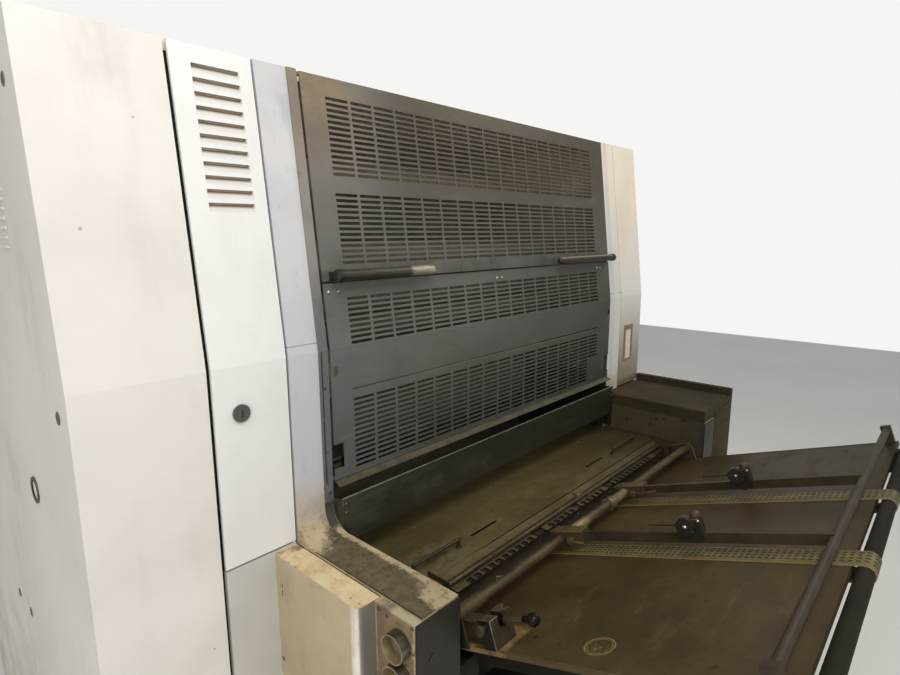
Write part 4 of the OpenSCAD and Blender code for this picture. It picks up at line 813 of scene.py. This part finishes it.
# ---- infeed table: handle feet, lip clip, bolts of the beam, screws
bm = bmesh.new()
for side in (-1, 1):
    for x in (0.445, 0.611):
        addRod(bm, (side * x, -0.178, 0.893), (side * x, -0.178, 0.8975), 0.0088, 0.0070, 20)
newPiece("lifting_handle_feet", bm, "black", "unit", 0.0006)
bm = bmesh.new()
addRod(bm, (0.030, -0.258, 0.8935), (0.056, -0.258, 0.8935), 0.0085, 0.0060, 16)
addBlock(bm, (0.036, -0.252, 0.8925), (0.050, -0.238, 0.8965))
newPiece("lip_clip", bm, "clamp", bevel=0.0010)
bm = bmesh.new()
for x in (-0.650, -0.214, 0.0, 0.214, 0.640):
    addDome(bm, (x, -0.2841, 0.853), outward, 0.0058, 0.0035)
newPiece("beam_bolts", bm, "screw")
bm = bmesh.new()
for x in (-0.680, -0.45, -0.1, 0.12, 0.47, 0.680):
    addDome(bm, (x, -0.010, 0.893), (0, 0, 1), 0.0062, 0.0022)
newPiece("table_screws", bm, "infeed", "unit")

# ---- cross shaft: clip pin, pin by the collar, end bracket and the bent light rod at its right end
shaft = {"up": 0.057, "high": 0.041, "radius": 0.014}


def onShaft(x, up=0.0, high=0.0):
    return onBoard(x, shaft["up"] + up, shaft["high"] + high)


bm = bmesh.new()
addRod(bm, onShaft(-0.512, 0.004, 0.006), onShaft(-0.512, 0.010, 0.026), 0.0028, 0.0018, 10)
addRod(bm, onShaft(-0.512, 0.010, 0.024), onShaft(-0.500, 0.018, 0.022), 0.0022, 0.0014, 10)
addRod(bm, onShaft(0.139, 0.002, 0.006), onShaft(0.139, 0.006, 0.022), 0.0028, 0.0018, 10)
newPiece("shaft_pins", bm, "clamp")
bm = bmesh.new()
addRing(bm, onShaft(0.078), (1, 0, 0), 0.0190, 0.0202, 0.0022, 36)
addRing(bm, onShaft(0.0535), (1, 0, 0), 0.0190, 0.0202, 0.0022, 36)
newPiece("collar_rims", bm, "bright")
bm = bmesh.new()
addRod(bm, onShaft(0.692), onShaft(0.7148), 0.0175, segments=32)
addRod(bm, onShaft(-0.7148), onShaft(-0.692), 0.0215, segments=32)
newPiece("shaft_bearings", bm, "shaft", bevel=0.002)
bm = bmesh.new()
loop = [onBoard(0.678, -0.012, 0.062), onBoard(0.678, 0.004, 0.061), onBoard(0.682, 0.082, 0.062),
        onBoard(0.676, 0.092, 0.052),
        onBoard(0.673, 0.097, 0.001)]
for start, end in zip(loop, loop[1:]):
    addRod(bm, start, end, 0.0026, segments=12)
    addDome(bm, end, (0, 0, 1), 0.0026, 0.0026, 12)
newPiece("shaft_loop", bm, "clamp")
bm = bmesh.new()
addBlock(bm, (0.674, -0.306, 0.828), (0.680, -0.246, 0.9020))
addBlock(bm, (0.662, -0.312, 0.884), (0.686, -0.300, 0.8990))
newPiece("lip_right_flange", bm, "beam", bevel=0.0030)

# ---- bar clamps: worn top plates, thumb levers, screws
bars = {"x": (-0.193, 0.193), "clamp": (0.022, 0.120), "top": 0.057, "half": 0.022}
bm = bmesh.new()
for x in bars["x"]:
    addBoardBlock(bm, (x - bars["half"] - 0.001, bars["clamp"][0] - 0.002, bars["top"]),
                  (x + bars["half"], bars["clamp"][1], bars["top"] + 0.003))
newPiece("clamp_top_plates", bm, "clamp", bevel=0.0010)
bm = bmesh.new()
for x in bars["x"]:
    near = x - bars["half"]
    addRod(bm, onBoard(near, 0.086, 0.036), onBoard(near - 0.009, 0.086, 0.036), 0.0105, segments=24)
    addRod(bm, onBoard(near - 0.006, 0.082, 0.036), onBoard(near - 0.006, 0.128 if x < 0 else 0.168,
                                                            0.030 if x < 0 else 0.041), 0.0040, 0.0030, 12)
newPiece("clamp_thumb_levers", bm, "clamp", bevel=0.0008)
bm = bmesh.new()
for x in bars["x"]:
    for up in (0.040, 0.104):
        addDome(bm, onBoard(x + 0.006, up, bars["top"] + 0.003), boardUp, 0.0045, 0.0025)
newPiece("clamp_screws", bm, "screw")
# a light strip along the top of the right bar: painted highlight
bm = bmesh.new()
addBoardBlock(bm, (bars["x"][1] - 0.0064, 0.1205, 0.0515), (bars["x"][1] + 0.0010, 0.394, 0.0538))
newPiece("bar_top_highlight", bm, "clamp", bevel=0.0004)

# ---- wheel carriages: hub dome, crescent rim, screw, knob cap, tab under the bar
carriage = {"up": 0.415, "nutHigh": 0.073, "nutFace": -0.024, "nutRadius": 0.022, "knobUp": 0.4366,
            "knobTop": 0.099}
for x, tag in ((bars["x"][0], "left"), (bars["x"][1], "right")):
    hub = onBoard(x + carriage["nutFace"], carriage["up"], carriage["nutHigh"])
    bm = bmesh.new()
    addDome(bm, hub, (-1, 0, 0), 0.0062, 0.0045, 20)
    addDome(bm, onBoard(x - 0.014, 0.4455, 0.0835), (-1, 0, 0), 0.0040, 0.0032, 14)
    newPiece(tag + "_carriage_hub", bm, "bright")
    bm = bmesh.new()
    addRing(bm, hub + Vector((0.0008, 0, 0)), (-1, 0, 0), 0.0185, 0.0215, 0.0022, 40)
    addRing(bm, hub + Vector((0.0005, 0, 0)), (-1, 0, 0), 0.0085, 0.0110, 0.0020, 28)
    newPiece(tag + "_carriage_rims", bm, "black", "unit", 0.0005)
    bm = bmesh.new()
    addDome(bm, onBoard(x, carriage["knobUp"], carriage["knobTop"]), boardUp, 0.0118, 0.0050, 22)
    addRod(bm, onBoard(x, carriage["knobUp"], 0.0905), onBoard(x, carriage["knobUp"], 0.0985), 0.0127,
           segments=18)
    newPiece(tag + "_carriage_knob", bm, "knob", "unit", 0.0008)
    bm = bmesh.new()
    addBoardBlock(bm, (x - 0.0135, 0.396, 0.0862), (x + 0.0135, 0.446, 0.0885))
    newPiece(tag + "_carriage_plate", bm, "clamp", bevel=0.0008)

# ---- ball lever: hub nut, ring, light edge of the bracket
bm = bmesh.new()
lever = {"up": 0.175, "high": 0.048, "x": -0.657}
for start, end, radius, sides in ((-0.690, -0.7030, 0.0052, 16), (-0.7030, -0.7110, 0.0110, 24),
                                  (-0.6245, -0.6200, 0.0085, 6)):
    addRod(bm, onBoard(start, lever["up"], lever["high"]), onBoard(end, lever["up"], lever["high"]), radius,
           segments=sides)
newPiece("lever_nuts", bm, "bar", "unit", 0.0008)
bm = bmesh.new()
addRing(bm, onBoard(-0.6420, 0.1900, 0.0660), (0.5, -0.6, 0.65), 0.0040, 0.0080, 0.0030, 26)
newPiece("lever_ring", bm, "clamp", "unit", 0.0008)
bm = bmesh.new()
addBoardBlock(bm, (-0.6912, 0.1903, 0.0010), (-0.6897, 0.1922, 0.0600))
addBoardBlock(bm, (-0.6905, 0.1903, 0.0592), (-0.6655, 0.1922, 0.0608))
newPiece("lever_bracket_edges", bm, "edge", "unit", 0.0003)
bm = bmesh.new()
addBoardBlock(bm, (-0.7010, 0.098, 0.0), (-0.6950, 0.122, 0.098))
addDome(bm, onBoard(-0.6950, 0.110, 0.086), (1, 0, 0), 0.0045, 0.0024)
newPiece("arm_stay", bm, "leverCast", "unit", 0.0008)
bm = bmesh.new()
addBoardBlock(bm, (-0.7000, 0.122, 0.0600), (-0.6700, 0.1585, 0.0640))
newPiece("arm_stay_strap", bm, "bar", "unit", 0.0008)
bm = bmesh.new()
addRod(bm, onBoard(lever["x"], 0.252, 0.0561), onBoard(lever["x"], 0.268, 0.0578), 0.0062, 0.0078, 20)
newPiece("ball_neck", bm, "ball", "ball_lever", 0.0006)
bm = bmesh.new()
addRod(bm, onBoard(lever["x"], 0.2010, 0.0507), onBoard(lever["x"], 0.2050, 0.0511), 0.0062, 0.0078, 24)
addRod(bm, onBoard(lever["x"], 0.2050, 0.0511), onBoard(lever["x"], 0.2530, 0.0562), 0.0078, 0.0066, 24)
newPiece("lever_sleeve", bm, "bar", "ball_lever", 0.0004)

# ---- feed board: light edge strip along its left side and the screws of the rails
bm = bmesh.new()
addBoardBlock(bm, (-0.6895, 0.130, 0.0), (-0.6862, 0.728, 0.0016))
addBoardBlock(bm, (0.6862, 0.130, 0.0), (0.6895, 0.728, 0.0016))
newPiece("board_edge_strip", bm, "clamp", "unit", 0.0006)
bm = bmesh.new()
for x in (-0.62, 0.62):
    for up in (0.06, 0.24, 0.42, 0.60, 0.715):
        addDome(bm, onBoard(x, up, 0), boardUp, 0.0050, 0.0016)
newPiece("board_screws", bm, "beam", "unit")

# ---- drive box: lid on its front, screws
box = {"x": (0.7155, 1.045), "front": -0.417, "top": 1.046}
bm = bmesh.new()
for x in (0.742, 0.994):
    addDome(bm, (x, -0.396, box["top"]), (0, 0, 1), 0.0045, 0.0022)
for x in (0.842, 1.025):
    for z in (0.980, 0.560, 0.120):
        addDome(bm, (x, box["front"] - 0.003, z), outward, 0.0050, 0.0024)
newPiece("drive_box_screws", bm, "screw")
bm = bmesh.new()
addBlock(bm, (0.832, box["front"] - 0.003, 0.060), (1.035, box["front"], 1.020))
addBlock(bm, (0.862, box["front"] - 0.0045, 0.090), (1.005, box["front"] - 0.003, 0.950))
addRing(bm, (0.9335, box["front"] - 0.0045, 0.700), outward, 0.014, 0.021, 0.0025, 32)
newPiece("drive_box_front_lid", bm, "driveBox", "unit", 0.0015)

# ---- sides, back and roof: fastener rows, flush grips, vents
fastener = {"radius": 0.010, "height": 0.0022, "rim": 0.0125}
bm = bmesh.new()
rims = bmesh.new()


def addFastener(at, axis):
    addDome(bm, at, axis, fastener["radius"], fastener["height"], 16)
    addRing(rims, at, axis, fastener["radius"], fastener["rim"], 0.0012, 24)


leftX, rightX, backY = -1.250, 1.023, unit["depth"]
for x, axis in ((leftX, (-1, 0, 0)), (rightX, (1, 0, 0))):
    for y in (0.060, 0.590, 0.712, 1.240):
        for z in (0.120, 0.760, 1.400):
            addFastener((x, y, z), axis)
    for y in (0.130, 0.590, 0.712, 1.170):
        addFastener((x, y, 1.980), axis)
for x in (-1.200, -0.870, 0.860, 0.985):
    for z in (0.120, 0.760, 1.400):
        addFastener((x, backY, z), (0, 1, 0))
newPiece("panel_fasteners", bm, "lock", "unit")
newPiece("panel_fastener_rims", rims, "channel", "unit")
bm = bmesh.new()
for x, outer in ((leftX, -1), (rightX, 1)):
    for y in (0.330, 0.970):
        addRing(bm, (x, y, 1.180), (outer, 0, 0), 0.022, 0.030, 0.0030, 32)
newPiece("panel_grips", bm, "lock", "unit", 0.0006)
vent = {"width": 0.150, "height": 0.006, "pitch": 0.018, "count": 9, "depth": 0.0035}
bm = bmesh.new()
for x, outer in ((leftX, -1), (rightX, 1)):
    for y in (0.330, 0.970):
        for i in range(vent["count"]):
            z = 1.840 - i * vent["pitch"]
            low, high = sorted((x, x + outer * vent["depth"]))
            addBlock(bm, (low, y - vent["width"] / 2, z), (high, y + vent["width"] / 2, z + vent["height"]))
for x in (-1.035, 0.924):
    for i in range(vent["count"]):
        z = 1.300 - i * vent["pitch"]
        addBlock(bm, (x - 0.055, backY, z), (x + 0.055, backY + vent["depth"], z + vent["height"]))
newPiece("side_vents", bm, "coverWhite", "unit", 0.0012)
bm = bmesh.new()
addBlock(bm, (-0.560, 0.420, 2.0900), (-0.060, 0.900, 2.0960))
addBlock(bm, (0.060, 0.420, 2.0900), (0.560, 0.900, 2.0960))
newPiece("roof_hatches", bm, "hatch", "unit", 0.0015)
bm = bmesh.new()
for x in (-0.645, 0.645):
    for y in (0.180, 1.120):
        addRod(bm, (x, y, 2.0900), (x, y, 2.0990), 0.020, segments=24)
        addRod(bm, (x, y, 2.0990), (x, y, 2.1080), 0.0115, segments=6)
for x in (-0.540, -0.080, 0.080, 0.540):
    for y in (0.440, 0.880):
        addDome(bm, (x, y, 2.0960), (0, 0, 1), 0.0050, 0.0025)
newPiece("roof_bolts", bm, "screw", bevel=0.0008)
bm = bmesh.new()
leanBack = (0, math.cos(unit["lean"]), math.sin(unit["lean"]))
for z in (1.640, 1.300, 2.040):
    for x in (-0.670, 0.670):
        addDome(bm, (x, backY - frontY(z), z), leanBack if z > unit["kink"] else (0, 1, 0), 0.006, 0.003)
newPiece("rear_guard_screws", bm, "bright")

# ---- dark fillers behind the guards' side gaps: painted shade in the gaps
bm = bmesh.new()
lean = Matrix.Translation((0, 0, unit["kink"])) @ Matrix.Rotation(-unit["lean"], 4, "X")
for low, high in ((-0.7148, -0.7080), (0.7080, 0.7148)):
    addBlock(bm, (low, 0.0110, 0.0), (high, 0.0130, 0.6425), lean)
    addBlock(bm, (low, 0.0110, 1.130), (high, 0.0130, unit["kink"]))
newPiece("guard_gap_shade_fillers", bm, "bed", "unit")

# ---- inside: liner in front of the rear guards
bm = bmesh.new()
addBlock(bm, (-0.714, 1.215, 1.125), (0.714, 1.219, 2.065))
for low, high in ((1.125, 1.129), (2.061, 2.065)):
    addBlock(bm, (-0.714, 1.200, low), (0.714, 1.215, high))
for x in (-0.45, 0.0, 0.45):
    addBlock(bm, (x - 0.015, 1.209, 1.140), (x + 0.015, 1.215, 2.050))
newPiece("rear_liner", bm, "liner", "unit")

# ---- base: nuts and washers of the hold-down bolts
bm = bmesh.new()
nuts = bmesh.new()
for x in (-0.735 * 0.955, 0.735 * 0.955):
    for y in (-0.395, 0.250, 0.850, 1.225):
        addRod(nuts, (x, y, 0.180), (x, y, 0.198), 0.013, segments=6)
        addRod(bm, (x, y, 0.180), (x, y, 0.184), 0.020, segments=24)
newPiece("bed_washers", bm, "bed", "unit", 0.0006)
newPiece("bed_nuts", nuts, "screw", bevel=0.0008)
print("small parts:", len(pieceNames))

# ---- camera: solved from the long edges of the press
lens = {"place": (-1.4976, -1.11024, 1.720), "heading": 42.394, "down": 10.2557, "roll": 0.198, "focal": 22.784}
a, p, r = (math.radians(lens[k]) for k in ("heading", "down", "roll"))
ahead = Vector((math.cos(a) * math.cos(p), math.sin(a) * math.cos(p), -math.sin(p)))
right = Vector((math.sin(a), -math.cos(a), 0))
above = right.cross(ahead)
rightRolled = right * math.cos(r) - above * math.sin(r)
aboveRolled = right * math.sin(r) + above * math.cos(r)
camera = bpy.data.objects.new("camera", bpy.data.cameras.new("camera"))
camera.data.lens = lens["focal"]
camera.data.sensor_width = 36
camera.data.clip_start = 0.02
turn = Matrix((rightRolled, aboveRolled, -ahead)).transposed().to_4x4()
camera.matrix_world = Matrix.Translation(lens["place"]) @ turn
bpy.context.scene.collection.objects.link(camera)
bpy.context.scene.camera = camera

# ---- room: pale floor, soft lights
lights = {
    "above": {"place": (-1.5, -1.5, 3.4), "aim": (-0.8, 0.2, 1.3), "size": 1.4, "power": 36,
              "tint": (1.0, 0.97, 0.93)},
    "left": {"place": (-3.6, -1.6, 2.0), "aim": (-0.9, -0.1, 0.9), "size": 1.8, "power": 26,
             "tint": (1.0, 0.96, 0.90)},
    "right": {"place": (1.9, -1.0, 3.3), "aim": (0.9, 0.0, 1.7), "size": 0.9, "power": 17,
              "tint": (1.0, 0.95, 0.86)},
    "front": {"place": (0.6, -4.0, 2.6), "aim": (0.0, 0.0, 1.2), "size": 3.5, "power": 16,
              "tint": (1.0, 0.95, 0.87)},
}
for name, spec in lights.items():
    lamp = bpy.data.lights.new(name, "AREA")
    lamp.shape, lamp.size, lamp.energy, lamp.color = "SQUARE", spec["size"], spec["power"], spec["tint"]
    holder = bpy.data.objects.new(name, lamp)
    holder.location = spec["place"]
    holder.rotation_euler = (Vector(spec["aim"]) - Vector(spec["place"])).to_track_quat("-Z", "Y").to_euler()
    bpy.context.scene.collection.objects.link(holder)

world = bpy.data.worlds.new("room")
bpy.context.scene.world = world
world.use_nodes = True
glow = world.node_tree.nodes["Background"]
rays = world.node_tree.nodes.new("ShaderNodeLightPath")
pick = world.node_tree.nodes.new("ShaderNodeMapRange")
world.node_tree.links.new(rays.outputs["Is Camera Ray"], pick.inputs["Value"])
pick.inputs["To Min"].default_value, pick.inputs["To Max"].default_value = 0.42, 0.92
world.node_tree.links.new(pick.outputs[0], glow.inputs["Strength"])
glow.inputs["Color"].default_value = (1.0, 0.995, 0.975, 1)

bm = bmesh.new()
bmesh.ops.create_grid(bm, x_segments=1, y_segments=1, size=9)
bmesh.ops.translate(bm, verts=bm.verts, vec=(0, 0, -0.0005))
mesh = bpy.data.meshes.new("floor")
bm.to_mesh(mesh)
bm.free()
floor = bpy.data.objects.new("floor", mesh)
bpy.context.scene.collection.objects.link(floor)
floor.data.materials.append(finishes["floor"])
print("camera and room set")

bpy.context.scene.view_settings.view_transform = "Standard"
